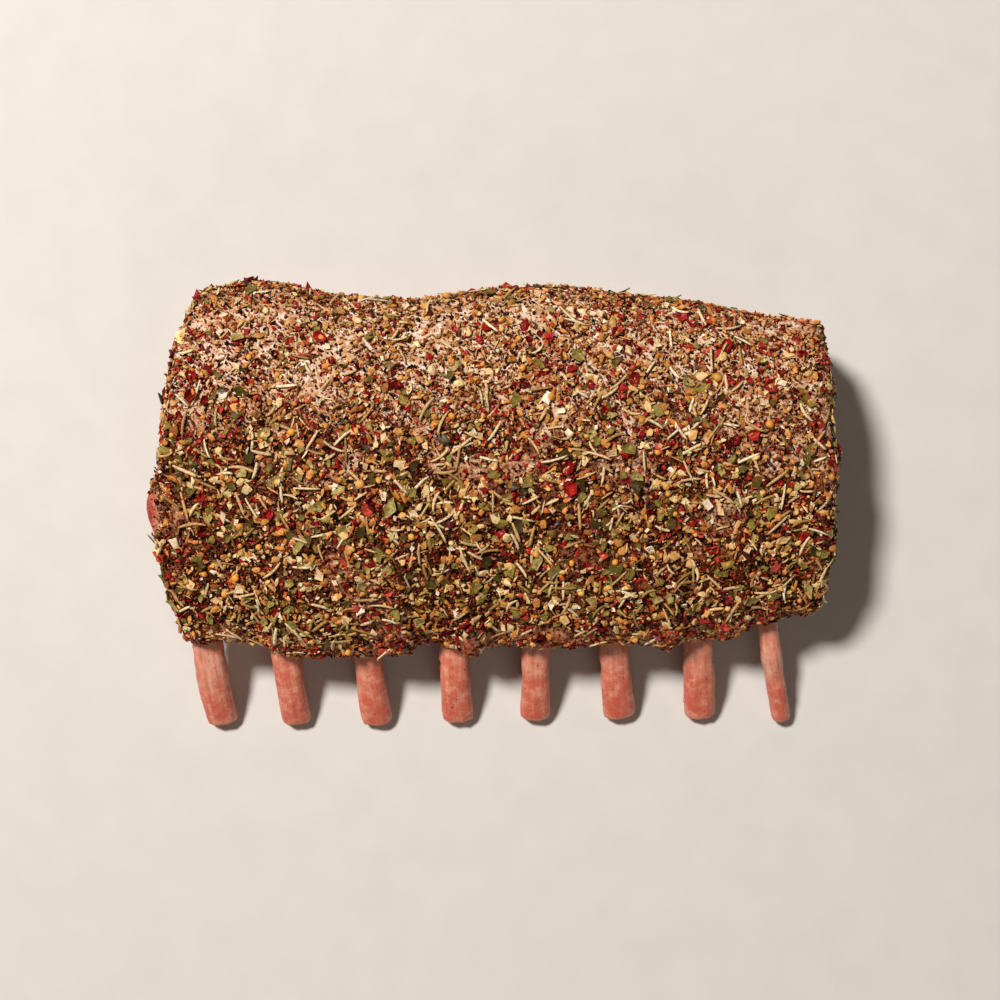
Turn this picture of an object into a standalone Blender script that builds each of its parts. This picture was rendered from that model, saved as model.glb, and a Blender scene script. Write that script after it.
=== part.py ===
"""Raw rib roast of pork: a loin on eight frenched ribs, under a herb-crusted fat cap.

The rack lies bone side down. +X runs along the rack, +Y points to the chine side, where the
backbone was sawn off, and the bare rib ends point to -Y. The roast stands on its chine foot
and on the tips of its ribs, with the origin below its middle, on the surface it stands on.
"""

import math
import random

import bmesh
import bpy
from mathutils import Matrix, Vector, noise

# ---------------------------------------------------------------- driving dimensions (metres)
HALF_LENGTH = 0.143            # nominal half length of the meat, along X
HEIGHT = 0.0755                # from the surface it stands on to the crest of the fat cap
FAT_THICKNESS = 0.0068         # fat cap over the eye of the loin
FAT_FRONT_THICKNESS = 0.0045   # fat cap where it folds over the rib side
FAT_EDGE = 0.0016              # fat cap at its two long edges
GAP = 0.0005                   # between neighbouring pieces
END_ROUND = 0.0036             # how far the rim of each end is drawn in
END_ROUND_REACH = 0.006        # and over what length
END_BULGE = 0.0012             # how far the lean swells out of its cut ends
END_LEVEL = 0.036              # height where the end faces stand furthest out
END_LEAN = 0.0045              # how far they lean back
END_LEAN_REACH = 0.040         # this far above or below that height

# Plan and height of the meat at stations along the rack: x, rib side y, chine side y and
# height as a share of HEIGHT.
STATIONS = (
    (-0.143, -0.0565, 0.0940, 0.930),
    (-0.115, -0.0552, 0.0968, 0.965),
    (-0.080, -0.0598, 0.0920, 0.990),
    (-0.048, -0.0602, 0.0888, 1.000),
    (-0.029, -0.0565, 0.0905, 0.995),
    (-0.010, -0.0585, 0.0928, 0.990),
    (0.022, -0.0552, 0.0945, 1.000),
    (0.055, -0.0550, 0.0912, 0.990),
    (0.088, -0.0556, 0.0878, 0.970),
    (0.118, -0.0478, 0.0832, 0.950),
    (0.143, -0.0435, 0.0815, 0.910),
)
# Where the two ends stand, across the rack: y, x of the left end, x of the right end.
ENDS = (
    (-0.062, -0.1285, 0.1318),
    (-0.045, -0.1302, 0.1346),
    (-0.028, -0.1348, 0.1362),
    (-0.012, -0.1378, 0.1386),
    (0.004, -0.1425, 0.1378),
    (0.021, -0.1375, 0.1390),
    (0.036, -0.1348, 0.1372),
    (0.054, -0.1328, 0.1368),
    (0.070, -0.1300, 0.1348),
    (0.082, -0.1248, 0.1336),
    (0.097, -0.1212, 0.1318),
)
# The outside of the meat in section, from the lip over the ribs, over the top and down the
# chine side: share of the width from the rib side, share of the height.
MANTLE = (
    (0.022, 0.270), (0.002, 0.380), (0.008, 0.520), (0.070, 0.675), (0.200, 0.815),
    (0.400, 0.925), (0.600, 0.990), (0.760, 0.988), (0.900, 0.905), (0.980, 0.750),
    (1.000, 0.560), (0.994, 0.300), (0.986, 0.085), (0.955, 0.000),
)
FAT_FROM, FAT_TO = 0.068, 0.885   # shares of the mantle's length that the fat cap covers
FAT_FADE = 0.12                   # share of the fat cap over which it thins to its edge
FAT_FULL_AT = 0.45                # share of the fat cap where it reaches its full thickness
BED_EDGE = 0.0068                 # bare lean beyond the edge of the fat cap, as a share
BED_MARGIN = 0.0030               # and how far the fat cap's bed runs past it
FOOT_CORNER = 0.965               # share where the chine side turns in to the foot
LIP_REACH = 0.30                  # share over which the lip's own height fades out
LUMP_HEIGHT = 0.0011              # slow rise and fall of the fat cap
LUMPS_ALONG, LUMPS_AROUND = 32.0, 7.0
LUMPS_SPAN = (0.03, 0.94)         # shares of the mantle's length between which it has them

# Ribs: an arch from the bare tips to the sawn chine ends.
RIB_TIP_Y = -0.0898
RIB_ENTRY_Y = -0.0580          # where a rib goes into the meat
RIB_CHINE_Y = 0.088            # where the row below gives its x on the chine side
RIB_CROWN = 0.0330             # height of a rib's centre line at the top of the arch
RIB_TIP_HEIGHT = 0.00345       # and at its tip
RIB_CHINE_SPAN = 0.098         # the chine half of the arch is a little longer than the tip half
RIB_CHINE_END = 0.962          # where it ends on the chine side, as a share of the mantle
RIB_CHINE_PROUD = 0.0003       # and how far its sawn end stands out there
RIB_BEND = 2.5                 # exponent of the arch: flat at the crown, steeper to the ends
RIB_SHOW = 0.0021              # how far the ribs stand proud of the underside
RIB_THICKNESS = 0.0094
RIB_NARROW = 0.01              # a rib narrower than this is also thinner, by this share
RIB_NARROW_THINNER = 0.92
RIB_SQUARE = 0.86              # exponent of the section: an oval with fuller corners below 1
RIB_RIM = 0.93                 # size of the cut faces against the section behind them
RIB_FLARE_REACH = 0.012        # length over which the flare at the tip fades out
RIB_WAVE = 0.03                # share by which a rib's width varies along it
# One row a rib: x at the tip, x where it enters the meat, x at the chine, width, tip flare,
# and how much shorter its tip is than RIB_TIP_Y.
RIBS = (
    (-0.1191, -0.1222, -0.1080, 0.0134, 1.02, 0.0010),
    (-0.0868, -0.0893, -0.0780, 0.0128, 1.03, 0.0012),
    (-0.0515, -0.0545, -0.0450, 0.0126, 1.08, 0.0012),
    (-0.0162, -0.0175, -0.0120, 0.0124, 1.14, 0.0022),
    (0.0175, 0.0174, 0.0210, 0.0124, 1.12, 0.0031),
    (0.0548, 0.0508, 0.0540, 0.0132, 1.10, 0.0039),
    (0.0899, 0.0867, 0.0870, 0.0130, 1.06, 0.0039),
    (0.1256, 0.1175, 0.1180, 0.0084, 1.04, 0.0022),
)
LIP_DROP = 0.0015                      # how far the lip over the ribs hangs below the arch
FOOT_REACH = 0.0210                    # from the chine side to the inner edge of the flat foot
FOOT_RAMP = 0.0090                     # from there to where the foot joins the arch
LIFT = 0.4                             # share of an end's rounding that lifts its underside
BED_BEYOND = 0.006                     # how far a rib's bed is cut past its chine end

# Mesh resolution.
BODY_RINGS = 13
MANTLE_STEPS = 15
ARCH_STEPS = 9
RIB_SIDES = 10
RIB_STATIONS = (0.0, 0.012, 0.05, 0.10, 0.16, 0.24, 0.36, 0.50, 0.66, 0.84, 1.0)
END_CORNER = (0.0, 0.13, 0.45, 1.0)    # rings of a rounded end, as shares of END_ROUND_REACH
PROBE = 0.004                          # step for the direction of a surface

# Seasoning that stands proud of the surface, largest kinds only.
NEEDLES, FLAKES, SEEDS = 66, 100, 44
SEASONING_SEED = 8
NEEDLE_LENGTH, NEEDLE_WIDTH = (0.009, 0.015), 0.0012
FLAKE_SIZE, FLAKE_THICKNESS = (0.0034, 0.0060), 0.0022
SEED_RADIUS = (0.0012, 0.0015)
END_FLAKES = 11                        # on each cut end of the loin
END_BARE = (0.024, 0.038)              # width with none of them, at the rib and chine sides
SUNK = 0.0009                          # how deep the seasoning is pressed in
SEASON_ALONG = (0.035, 0.965)          # shares of the length between which it lies
SEASON_AROUND = (0.125, 0.865)         # and shares of the mantle
SEASON_JITTER = 0.012
GOLDEN = (math.sqrt(5) - 1) / 2        # spreads the draws evenly

COLLECTION_NAME = "pork_rib_roast"


# ---------------------------------------------------------------- scene, collections, materials
def clear_scene():
    for obj in list(bpy.data.objects):
        bpy.data.objects.remove(obj, do_unlink=True)


def new_collection(name):
    collection = bpy.data.collections.new(name)
    bpy.context.scene.collection.children.link(collection)
    return collection


def new_material(name, colour, roughness, subsurface=0.0):
    material = bpy.data.materials.new(name)
    material.use_nodes = True
    shader = material.node_tree.nodes["Principled BSDF"]
    shader.inputs["Base Color"].default_value = (*colour, 1.0)
    shader.inputs["Roughness"].default_value = roughness
    shader.inputs["Metallic"].default_value = 0.0
    shader.inputs["Subsurface Weight"].default_value = subsurface
    material.diffuse_color = (*colour, 1.0)
    return material


def new_object(name, bm, collection, material=None):
    mesh = bpy.data.meshes.new(name)
    bm.to_mesh(mesh)
    bm.free()
    obj = bpy.data.objects.new(name, mesh)
    collection.objects.link(obj)
    if material:
        mesh.materials.append(material)
    return obj


# ---------------------------------------------------------------- the section of the roast
def spline(rows, position):
    """Value at a position on the Catmull-Rom curve through rows of (position, values...)."""
    position = min(max(position, rows[0][0]), rows[-1][0])
    index = 0
    while index < len(rows) - 2 and position > rows[index + 1][0]:
        index += 1
    before, after = rows[index], rows[index + 1]
    span = after[0] - before[0]
    share = (position - before[0]) / span
    values = []
    for column in range(1, len(before)):
        slope_in = slope_at(rows, index, column) * span
        slope_out = slope_at(rows, index + 1, column) * span
        values.append(
            before[column] * (1 + 2 * share) * (1 - share) ** 2
            + slope_in * share * (1 - share) ** 2
            + after[column] * share ** 2 * (3 - 2 * share)
            + slope_out * share ** 2 * (share - 1)
        )
    return values


def slope_at(rows, index, column):
    low, high = max(index - 1, 0), min(index + 1, len(rows) - 1)
    return (rows[high][column] - rows[low][column]) / (rows[high][0] - rows[low][0])


def by_length(points):
    """Rows (share of the length, values...) for points along a line."""
    lengths = [0.0]
    for start, end in zip(points, points[1:]):
        lengths.append(lengths[-1] + math.dist(
            (start[0] * 2, start[1]), (end[0] * 2, end[1])))
    return [(length / lengths[-1], *point) for length, point in zip(lengths, points)]


MANTLE_ROWS = by_length(MANTLE)


def rib_height(y, tip_y=RIB_TIP_Y):
    """Height of a rib's centre line at y."""
    span = -tip_y if y < 0 else RIB_CHINE_SPAN
    return RIB_CROWN - (RIB_CROWN - RIB_TIP_HEIGHT) * (abs(y) / span) ** RIB_BEND


def underside(y):
    """Height of the arched underside of the meat, between the lip and the chine foot."""
    return rib_height(y) - RIB_THICKNESS / 2 + RIB_SHOW


def outline(x, along):
    """Point (y, z) of the mantle in the section at x, at a share of its length."""
    rib_side, chine_side, height = spline(STATIONS, x)
    across, up = spline(MANTLE_ROWS, along)
    lip = underside(rib_side) - LIP_DROP - height * HEIGHT * MANTLE[0][1]
    lip_share = max(1 - along / LIP_REACH, 0.0) ** 2
    y = rib_side + (chine_side - rib_side) * across
    return Vector((y, height * HEIGHT * up + lip * lip_share))


def inward(x, along):
    """Unit normal of the mantle, into the meat."""
    ahead = outline(x, min(along + PROBE, 1.0))
    behind = outline(x, max(along - PROBE, 0.0))
    direction = (ahead - behind).normalized()
    return Vector((direction.y, -direction.x))


def lumps(x, along):
    """How far the fat cap rises or sinks at a place."""
    if not LUMPS_SPAN[0] < along < LUMPS_SPAN[1]:
        return 0.0
    return LUMP_HEIGHT * noise.noise(Vector((x * LUMPS_ALONG, along * LUMPS_AROUND, 0.4)))


def fat_thickness(along):
    share = (along - FAT_FROM) / (FAT_TO - FAT_FROM)
    full = min(share / FAT_FULL_AT, 1.0) * (FAT_THICKNESS - FAT_FRONT_THICKNESS)
    full += FAT_FRONT_THICKNESS
    rise = min(share, 1.0 - share) / FAT_FADE
    rise = min(max(rise, 0.0), 1.0)
    return FAT_EDGE + (full - FAT_EDGE) * rise * rise * (3 - 2 * rise)


def end_face(y, z):
    """X of the left and of the right end face: it leans back above and below mid height."""
    left, right = spline(ENDS, y)
    back = END_LEAN * ((z - END_LEVEL) / END_LEAN_REACH) ** 2
    return left + back, right - back


def end_shares():
    """Shares of the length where the rings stand, closer together at the rounded ends."""
    reach = END_ROUND_REACH / (2 * HALF_LENGTH)
    corner = [reach * step for step in END_CORNER]
    inner = [reach + (1 - 2 * reach) * step / BODY_RINGS for step in range(1, BODY_RINGS)]
    return corner + inner + [1 - share for share in reversed(corner)]


def end_inset(share):
    """How far the section is drawn in, close to an end."""
    reach = END_ROUND_REACH / (2 * HALF_LENGTH)
    close = 1 - min(share, 1 - share) / reach
    return END_ROUND * (1 - math.sqrt(1 - max(close, 0.0) ** 2 * 0.96))


def put(share, point):
    """The point (y, z) of a section, at a share of the length between the end faces."""
    left, right = end_face(point.x, point.y)
    return Vector((left + (right - left) * share, point.x, point.y))


def mantle_point(share, along, depth=0.0):
    x = (2 * share - 1) * HALF_LENGTH
    inset = end_inset(share) + depth - lumps(x, along)
    point = outline(x, along) + inward(x, along) * inset
    return Vector((point.x, max(point.y, 0.0)))


# ---------------------------------------------------------------- lofts
def bridge(bm, first, second):
    """Triangles between two closed rings of as many vertices."""
    count = len(first)
    for index in range(count):
        after = (index + 1) % count
        bm.faces.new((first[index], first[after], second[after]))
        bm.faces.new((first[index], second[after], second[index]))


def close_end(bm, ring, top_count, rows, place):
    """Closes a ring by rungs from its top chain to its bottom chain, with points between."""
    top, bottom = ring[:top_count], ring[top_count:][::-1]
    rungs = [[top[0], bottom[0]]]
    high, low = 0, 0
    while high + low < len(ring) - 2:
        across = math.inf if high == len(top) - 1 else (top[high + 1].co - bottom[low].co).length
        down = math.inf if low == len(bottom) - 1 else (top[high].co - bottom[low + 1].co).length
        high, low = (high + 1, low) if across < down else (high, low + 1)
        rung = [top[high]]
        if high + low < len(ring) - 2:
            for row in range(1, rows):
                rung.append(bm.verts.new(place(top[high].co.lerp(bottom[low].co, row / rows))))
        rungs.append(rung + [bottom[low]])
    for left, right in zip(rungs, rungs[1:]):
        rows_here = max(len(left), len(right))
        left = left[:1] * (rows_here - len(left)) + left
        right = right[:1] * (rows_here - len(right)) + right
        for row in range(rows_here - 1):
            corners = [left[row], right[row], right[row + 1], left[row + 1]]
            corners = list(dict.fromkeys(corners))
            if len(corners) > 2:
                bm.faces.new(corners[:3])
            if len(corners) == 4:
                bm.faces.new((corners[0], corners[2], corners[3]))


def loft(rings, top_count, rows=1, place_first=None, place_last=None):
    bm = bmesh.new()
    loops = [[bm.verts.new(point) for point in ring] for ring in rings]
    for first, second in zip(loops, loops[1:]):
        bridge(bm, first, second)
    close_end(bm, loops[0], top_count, rows, place_first)
    close_end(bm, loops[-1], top_count, rows, place_last)
    bmesh.ops.recalc_face_normals(bm, faces=bm.faces)
    return bm


# ---------------------------------------------------------------- loin
def loin_ring(share):
    """One section of the lean: under the fat cap on top, arched over the ribs below."""
    points = [mantle_point(share, 0.0), mantle_point(share, FAT_FROM - BED_EDGE)]
    for step in range(MANTLE_STEPS + 1):
        along = FAT_FROM + (FAT_TO - FAT_FROM) * step / MANTLE_STEPS
        shift = {0: -BED_MARGIN, MANTLE_STEPS: BED_MARGIN}.get(step, 0.0)
        points.append(mantle_point(share, along + shift, fat_thickness(along) + GAP))
    for along in (FAT_TO + BED_EDGE, FOOT_CORNER, 1.0):
        points.append(mantle_point(share, along))
    lift = LIFT * end_inset(share)
    for point, part in ((points[0], 1.0), (points[1], 0.3), (points[-1], 1.0)):
        point.y += lift * part
    lip, foot = points[0].x, spline(STATIONS, (2 * share - 1) * HALF_LENGTH)[1] - FOOT_REACH
    ramp = foot - FOOT_RAMP
    points.append(Vector((foot, lift)))
    for step in range(ARCH_STEPS):
        y = ramp + (lip - ramp) * step / (ARCH_STEPS - 0.4)
        points.append(Vector((y, underside(y) + lift)))
    return [put(share, point) for point in points]


def build_loin(collection, material):
    def left(point):
        return Vector((end_face(point.y, point.z)[0] - END_BULGE, point.y, point.z))

    def right(point):
        return Vector((end_face(point.y, point.z)[1] + END_BULGE, point.y, point.z))

    rings = [loin_ring(share) for share in end_shares()]
    top_count = len(rings[0]) - ARCH_STEPS - 1
    return new_object("loin", loft(rings, top_count, 3, left, right), collection, material)


# ---------------------------------------------------------------- fat cap
def fat_ring(share):
    outer, inner = [], []
    for step in range(MANTLE_STEPS + 1):
        along = FAT_FROM + (FAT_TO - FAT_FROM) * step / MANTLE_STEPS
        outer.append(put(share, mantle_point(share, along)))
        inner.append(put(share, mantle_point(share, along, fat_thickness(along))))
    return outer + inner[::-1]


def build_fat_cap(collection, material):
    rings = [fat_ring(share) for share in end_shares()]
    return new_object("fat_cap", loft(rings, MANTLE_STEPS + 1), collection, material)


# ---------------------------------------------------------------- ribs
def through(points, position):
    """Value at a position on the curve of lowest degree through (position, value) points."""
    total = 0.0
    for place, value in points:
        weight = 1.0
        for other, _ in points:
            if other != place:
                weight *= (position - other) / (place - other)
        total += value * weight
    return total


def rib_path(row, y):
    """X of a rib's centre line: a parabola through its tip, its entry and its chine end."""
    places = (RIB_TIP_Y, RIB_ENTRY_Y, RIB_CHINE_Y)
    return through(list(zip(places, row[:3])), y)


def rib_ring(row, y, share, grow):
    """An oval across the rib: square to it at the tip, upright at the sawn chine end."""
    step, tip_y = 0.0005, RIB_TIP_Y + row[5]
    centre = Vector((rib_path(row, y), y, rib_height(y, tip_y)))
    ahead = Vector((rib_path(row, y + step), y + step, rib_height(y + step, tip_y)))
    tangent = (ahead - centre).normalized()
    side = Vector((1.0, -tangent.x / tangent.y, 0.0)).normalized()
    square = side.cross(tangent).normalized()
    upright = Vector((0.0, 0.0, 1.0 / square.z))
    up = square.lerp(upright, share)
    flare = 1.0 + (row[4] - 1.0) * math.exp(-((y - tip_y) / RIB_FLARE_REACH) ** 2)
    flare += RIB_WAVE * math.sin(y * 90.0 + row[0] * 300.0)
    rim = RIB_RIM if share in (0.0, 1.0) and not grow else 1.0
    thinner = RIB_NARROW_THINNER if row[3] < RIB_NARROW else 1.0
    half_width = row[3] / 2 * flare * rim + grow
    half_height = RIB_THICKNESS / 2 * thinner * rim + grow
    ring = []
    for index in range(RIB_SIDES):
        angle = 2 * math.pi * (index + 0.5) / RIB_SIDES
        wide = math.copysign(abs(math.cos(angle)) ** RIB_SQUARE, math.cos(angle))
        high = math.copysign(abs(math.sin(angle)) ** RIB_SQUARE, math.sin(angle))
        ring.append(centre + side * wide * half_width + up * high * half_height)
    return ring


def rib_mesh(row, grow=0.0, beyond=0.0):
    """A rib, or the larger bed that is cut for it when grow and beyond are given."""
    share = (row[2] / HALF_LENGTH + 1) / 2
    tip_y = RIB_TIP_Y + row[5]
    end_y = mantle_point(share, RIB_CHINE_END).x + RIB_CHINE_PROUD
    rings = []
    for share in RIB_STATIONS:
        y = tip_y + (end_y - tip_y) * share
        rings.append(rib_ring(row, y, share, grow))
    if beyond:
        rings.append(rib_ring(row, end_y + beyond, 1.0, grow))
    return loft(rings, RIB_SIDES // 2)


def build_ribs(collection, material):
    for number, row in enumerate(RIBS, start=1):
        rib = new_object(f"rib_{number}", rib_mesh(row), collection, material)
        rib.data.shade_smooth()
        rib.data.set_sharp_from_angle(angle=math.radians(50))


def cut_rib_beds(loin, cutters):
    for number, row in enumerate(RIBS, start=1):
        bed = new_object(f"bed_{number}", rib_mesh(row, GAP, BED_BEYOND), cutters)
        bed.hide_render = True
        bed.display_type = "WIRE"
        cut = loin.modifiers.new(f"bed_{number}", "BOOLEAN")
        cut.operation = "DIFFERENCE"
        cut.object = bed
        cut.solver = "EXACT"


# ---------------------------------------------------------------- seasoning
def surface_frame(share, along):
    """Matrix of a spot on the mantle: X along the rack, Z out of the meat."""
    spot = put(share, mantle_point(share, along))
    along_rack = put(share + PROBE, mantle_point(share + PROBE, along)) - spot
    around = put(share, mantle_point(share, along + PROBE)) - spot
    return spot_matrix(spot, along_rack.normalized(), around.normalized())


def end_frame(share, y, z):
    """Matrix of a spot on the left (share 0) or the right end face."""
    step = -PROBE if share < 0.5 else PROBE
    spot = put(share, Vector((y, z)))
    across = put(share, Vector((y + step, z))) - spot
    up = put(share, Vector((y, z + PROBE))) - spot
    matrix = spot_matrix(spot, across.normalized(), up.normalized())
    matrix.translation += matrix.col[2].to_3d() * END_BULGE
    return matrix


def spot_matrix(spot, first, second):
    out = first.cross(second).normalized()
    second = out.cross(first)
    matrix = Matrix((first, second, out)).transposed().to_4x4()
    matrix.translation = spot
    return matrix


def needle(bm, draw, matrix):
    length = draw.uniform(*NEEDLE_LENGTH)
    turn = Matrix.Rotation(draw.uniform(0, math.pi), 4, "Z")
    tip = Matrix.Rotation(math.radians(90 + draw.uniform(-4, 4)), 4, "Y")
    lift = Matrix.Translation((0, 0, NEEDLE_WIDTH * 0.30))
    bmesh.ops.create_cone(
        bm, cap_ends=True, segments=5, depth=length, matrix=matrix @ turn @ lift @ tip,
        radius1=NEEDLE_WIDTH * 0.8, radius2=NEEDLE_WIDTH * 0.5)


def flake(bm, draw, matrix):
    size = draw.uniform(*FLAKE_SIZE)
    turn = Matrix.Rotation(draw.uniform(0, math.pi), 4, "Z")
    tilt = Matrix.Rotation(math.radians(draw.uniform(-9, 9)), 4, "X")
    lift = Matrix.Translation((0, 0, FLAKE_THICKNESS / 2 - SUNK))
    stretch = Matrix.Diagonal((size, size * draw.uniform(0.55, 0.9), FLAKE_THICKNESS, 1.0))
    bmesh.ops.create_cube(bm, size=1.0, matrix=matrix @ turn @ lift @ tilt @ stretch)


def seed(bm, draw, matrix):
    radius = draw.uniform(*SEED_RADIUS)
    lift = Matrix.Translation((0, 0, radius * 0.35))
    bmesh.ops.create_icosphere(bm, subdivisions=1, radius=radius, matrix=matrix @ lift)


def spread(kinds, draw):
    """Kinds in a drawn order, each with an even spot (share of length, share around)."""
    low, high = SEASON_ALONG
    draw.shuffle(kinds)
    spots = []
    for index, kind in enumerate(kinds):
        share = low + (high - low) * (index + 0.5) / len(kinds)
        around = (index * GOLDEN) % 1.0
        share += draw.uniform(-SEASON_JITTER, SEASON_JITTER)
        around += draw.uniform(-SEASON_JITTER, SEASON_JITTER)
        spots.append((kind, min(max(share, low), high), min(max(around, 0.0), 1.0)))
    return spots


def fuse(target, pieces, name):
    """Joins the pieces in a collection to the target by one union, and removes them."""
    union = target.modifiers.new(name, "BOOLEAN")
    union.operation = "UNION"
    union.operand_type = "COLLECTION"
    union.collection = pieces
    union.solver = "EXACT"
    bpy.context.view_layer.update()
    graph = bpy.context.evaluated_depsgraph_get()
    mesh = bpy.data.meshes.new_from_object(target.evaluated_get(graph))
    target.modifiers.clear()
    old = target.data
    target.data = mesh
    mesh.name = target.name
    bpy.data.meshes.remove(old)
    for piece in list(pieces.objects):
        bpy.data.objects.remove(piece, do_unlink=True)
    bpy.data.collections.remove(pieces)
    drop_scraps(mesh)


def drop_scraps(mesh):
    """Keeps the largest connected body of a mesh."""
    bm = bmesh.new()
    bm.from_mesh(mesh)
    bodies, seen = [], set()
    for start in bm.verts:
        if start in seen:
            continue
        body, edge_of_body = {start}, [start]
        while edge_of_body:
            vertex = edge_of_body.pop()
            for edge in vertex.link_edges:
                other = edge.other_vert(vertex)
                if other not in body:
                    body.add(other)
                    edge_of_body.append(other)
        seen |= body
        bodies.append(body)
    bodies.sort(key=len)
    scraps = [vertex for body in bodies[:-1] for vertex in body]
    bmesh.ops.delete(bm, geom=scraps, context="VERTS")
    bm.to_mesh(mesh)
    bm.free()


def season_fat_cap(fat_cap, draw):
    pieces = new_collection("fat_cap_seasoning")
    kinds = [needle] * NEEDLES + [flake] * FLAKES + [seed] * SEEDS
    for kind, share, around in spread(kinds, draw):
        along = SEASON_AROUND[0] + (SEASON_AROUND[1] - SEASON_AROUND[0]) * around
        bm = bmesh.new()
        kind(bm, draw, surface_frame(share, along))
        new_object(kind.__name__, bm, pieces)
    fuse(fat_cap, pieces, "seasoning")


def season_ends(loin, draw):
    pieces = new_collection("loin_seasoning")
    for share in (0.0, 1.0):
        rib_side, chine_side, _ = spline(STATIONS, (2 * share - 1) * HALF_LENGTH)
        start, width = rib_side + END_BARE[0], chine_side - rib_side - sum(END_BARE)
        for index in range(END_FLAKES):
            across = (index + draw.uniform(0.3, 0.7)) / END_FLAKES
            y = start + width * across
            level = 0.15 + 0.7 * ((index * GOLDEN + 0.3) % 1.0)
            low, high = underside(y) + 0.008, 0.038 + 0.016 * across
            bm = bmesh.new()
            flake(bm, draw, end_frame(share, y, low + (high - low) * level))
            new_object("flake", bm, pieces)
    fuse(loin, pieces, "seasoning")


# ---------------------------------------------------------------- assembly
def recentre(collection, cutters):
    """Moves everything so that the middle of the box is over the origin."""
    bpy.context.view_layer.update()
    graph = bpy.context.evaluated_depsgraph_get()
    corners = []
    for obj in collection.objects:
        mesh = obj.evaluated_get(graph).data
        corners += [obj.matrix_world @ vertex.co for vertex in mesh.vertices]
    low = Vector([min(corner[axis] for corner in corners) for axis in range(3)])
    high = Vector([max(corner[axis] for corner in corners) for axis in range(3)])
    shift = Vector((-(low.x + high.x) / 2, -(low.y + high.y) / 2, -low.z))
    for obj in [*collection.objects, *cutters.objects]:
        obj.location += shift


def main():
    clear_scene()
    roast = new_collection(COLLECTION_NAME)
    cutters = new_collection("cutters")
    draw = random.Random(SEASONING_SEED)
    lean = new_material("lean", (0.55, 0.16, 0.13), 0.35, 0.2)
    fat = new_material("fat", (0.62, 0.42, 0.26), 0.45, 0.2)
    bone = new_material("bone", (0.68, 0.30, 0.24), 0.38, 0.1)
    loin = build_loin(roast, lean)
    season_ends(loin, draw)
    cut_rib_beds(loin, cutters)
    build_ribs(roast, bone)
    fat_cap = build_fat_cap(roast, fat)
    season_fat_cap(fat_cap, draw)
    recentre(roast, cutters)


main()
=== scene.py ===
"""Looks of the raw pork rib roast: lean, fat cap, eight bones and a coarse herb and spice rub.

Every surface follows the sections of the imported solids. The rub is meshes at true size, one
piece for each kind, laid on the surfaces by seeded draws.
"""

import math
from collections import namedtuple

import bmesh
import bpy
import numpy as np
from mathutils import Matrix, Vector, noise


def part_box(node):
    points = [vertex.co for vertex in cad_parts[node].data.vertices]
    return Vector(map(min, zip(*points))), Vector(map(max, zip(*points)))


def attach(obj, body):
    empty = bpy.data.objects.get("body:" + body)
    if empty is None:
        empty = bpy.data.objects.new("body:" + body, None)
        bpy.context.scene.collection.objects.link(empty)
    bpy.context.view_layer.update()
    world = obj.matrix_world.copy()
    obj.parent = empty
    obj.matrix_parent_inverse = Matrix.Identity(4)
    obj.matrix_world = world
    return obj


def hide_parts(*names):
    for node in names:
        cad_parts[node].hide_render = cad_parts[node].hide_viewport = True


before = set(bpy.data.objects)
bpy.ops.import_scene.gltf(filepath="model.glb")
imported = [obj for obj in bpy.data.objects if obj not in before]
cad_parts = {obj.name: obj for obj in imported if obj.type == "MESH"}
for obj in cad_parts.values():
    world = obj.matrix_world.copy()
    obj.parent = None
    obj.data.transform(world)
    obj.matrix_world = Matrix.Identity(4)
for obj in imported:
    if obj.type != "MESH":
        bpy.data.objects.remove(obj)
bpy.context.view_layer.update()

# ---- sections of the solids (metres)
HALF_LENGTH = 0.143
HEIGHT = 0.0755
FAT_THICKNESS, FAT_FRONT_THICKNESS, FAT_EDGE = 0.0068, 0.0045, 0.0016
GAP = 0.0005
END_ROUND, END_ROUND_REACH, END_ROUND_FULL = 0.0036, 0.006, 0.96
END_BULGE = 0.0012
END_LEAN, END_LEAN_REACH, END_LEVEL = 0.0045, 0.040, 0.036
STATIONS = np.array((          # x, y of the rib side and of the chine side, height share
    (-0.143, -0.0565, 0.0940, 0.930),
    (-0.115, -0.0552, 0.0968, 0.965),
    (-0.080, -0.0598, 0.0920, 0.990),
    (-0.048, -0.0602, 0.0888, 1.000),
    (-0.029, -0.0565, 0.0905, 0.995),
    (-0.010, -0.0585, 0.0928, 0.990),
    (0.022, -0.0552, 0.0945, 1.000),
    (0.055, -0.0550, 0.0912, 0.990),
    (0.088, -0.0556, 0.0878, 0.970),
    (0.118, -0.0478, 0.0832, 0.950),
    (0.143, -0.0435, 0.0815, 0.910),
))
ENDS = np.array((              # y, x of the left and of the right end face
    (-0.062, -0.1285, 0.1318),
    (-0.045, -0.1302, 0.1346),
    (-0.028, -0.1348, 0.1362),
    (-0.012, -0.1378, 0.1386),
    (0.004, -0.1425, 0.1378),
    (0.021, -0.1375, 0.1390),
    (0.036, -0.1348, 0.1372),
    (0.054, -0.1328, 0.1368),
    (0.070, -0.1300, 0.1348),
    (0.082, -0.1248, 0.1336),
    (0.097, -0.1212, 0.1318),
))
MANTLE = (                     # shares across and up, from the lip over the top to the foot
    (0.022, 0.270), (0.002, 0.380), (0.008, 0.520), (0.070, 0.675), (0.200, 0.815),
    (0.400, 0.925), (0.600, 0.990), (0.760, 0.988), (0.900, 0.905), (0.980, 0.750),
    (1.000, 0.560), (0.994, 0.300), (0.986, 0.085), (0.955, 0.000),
)
FAT_FROM, FAT_TO = 0.068, 0.885
FAT_FADE, FAT_FULL_AT = 0.12, 0.45
BED_EDGE = 0.0068
LIP_REACH, LIP_DROP = 0.30, 0.0015
LUMP_HEIGHT, LUMPS_ALONG, LUMPS_AROUND, LUMP_LAYER = 0.0011, 32.0, 7.0, 0.4
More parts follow.
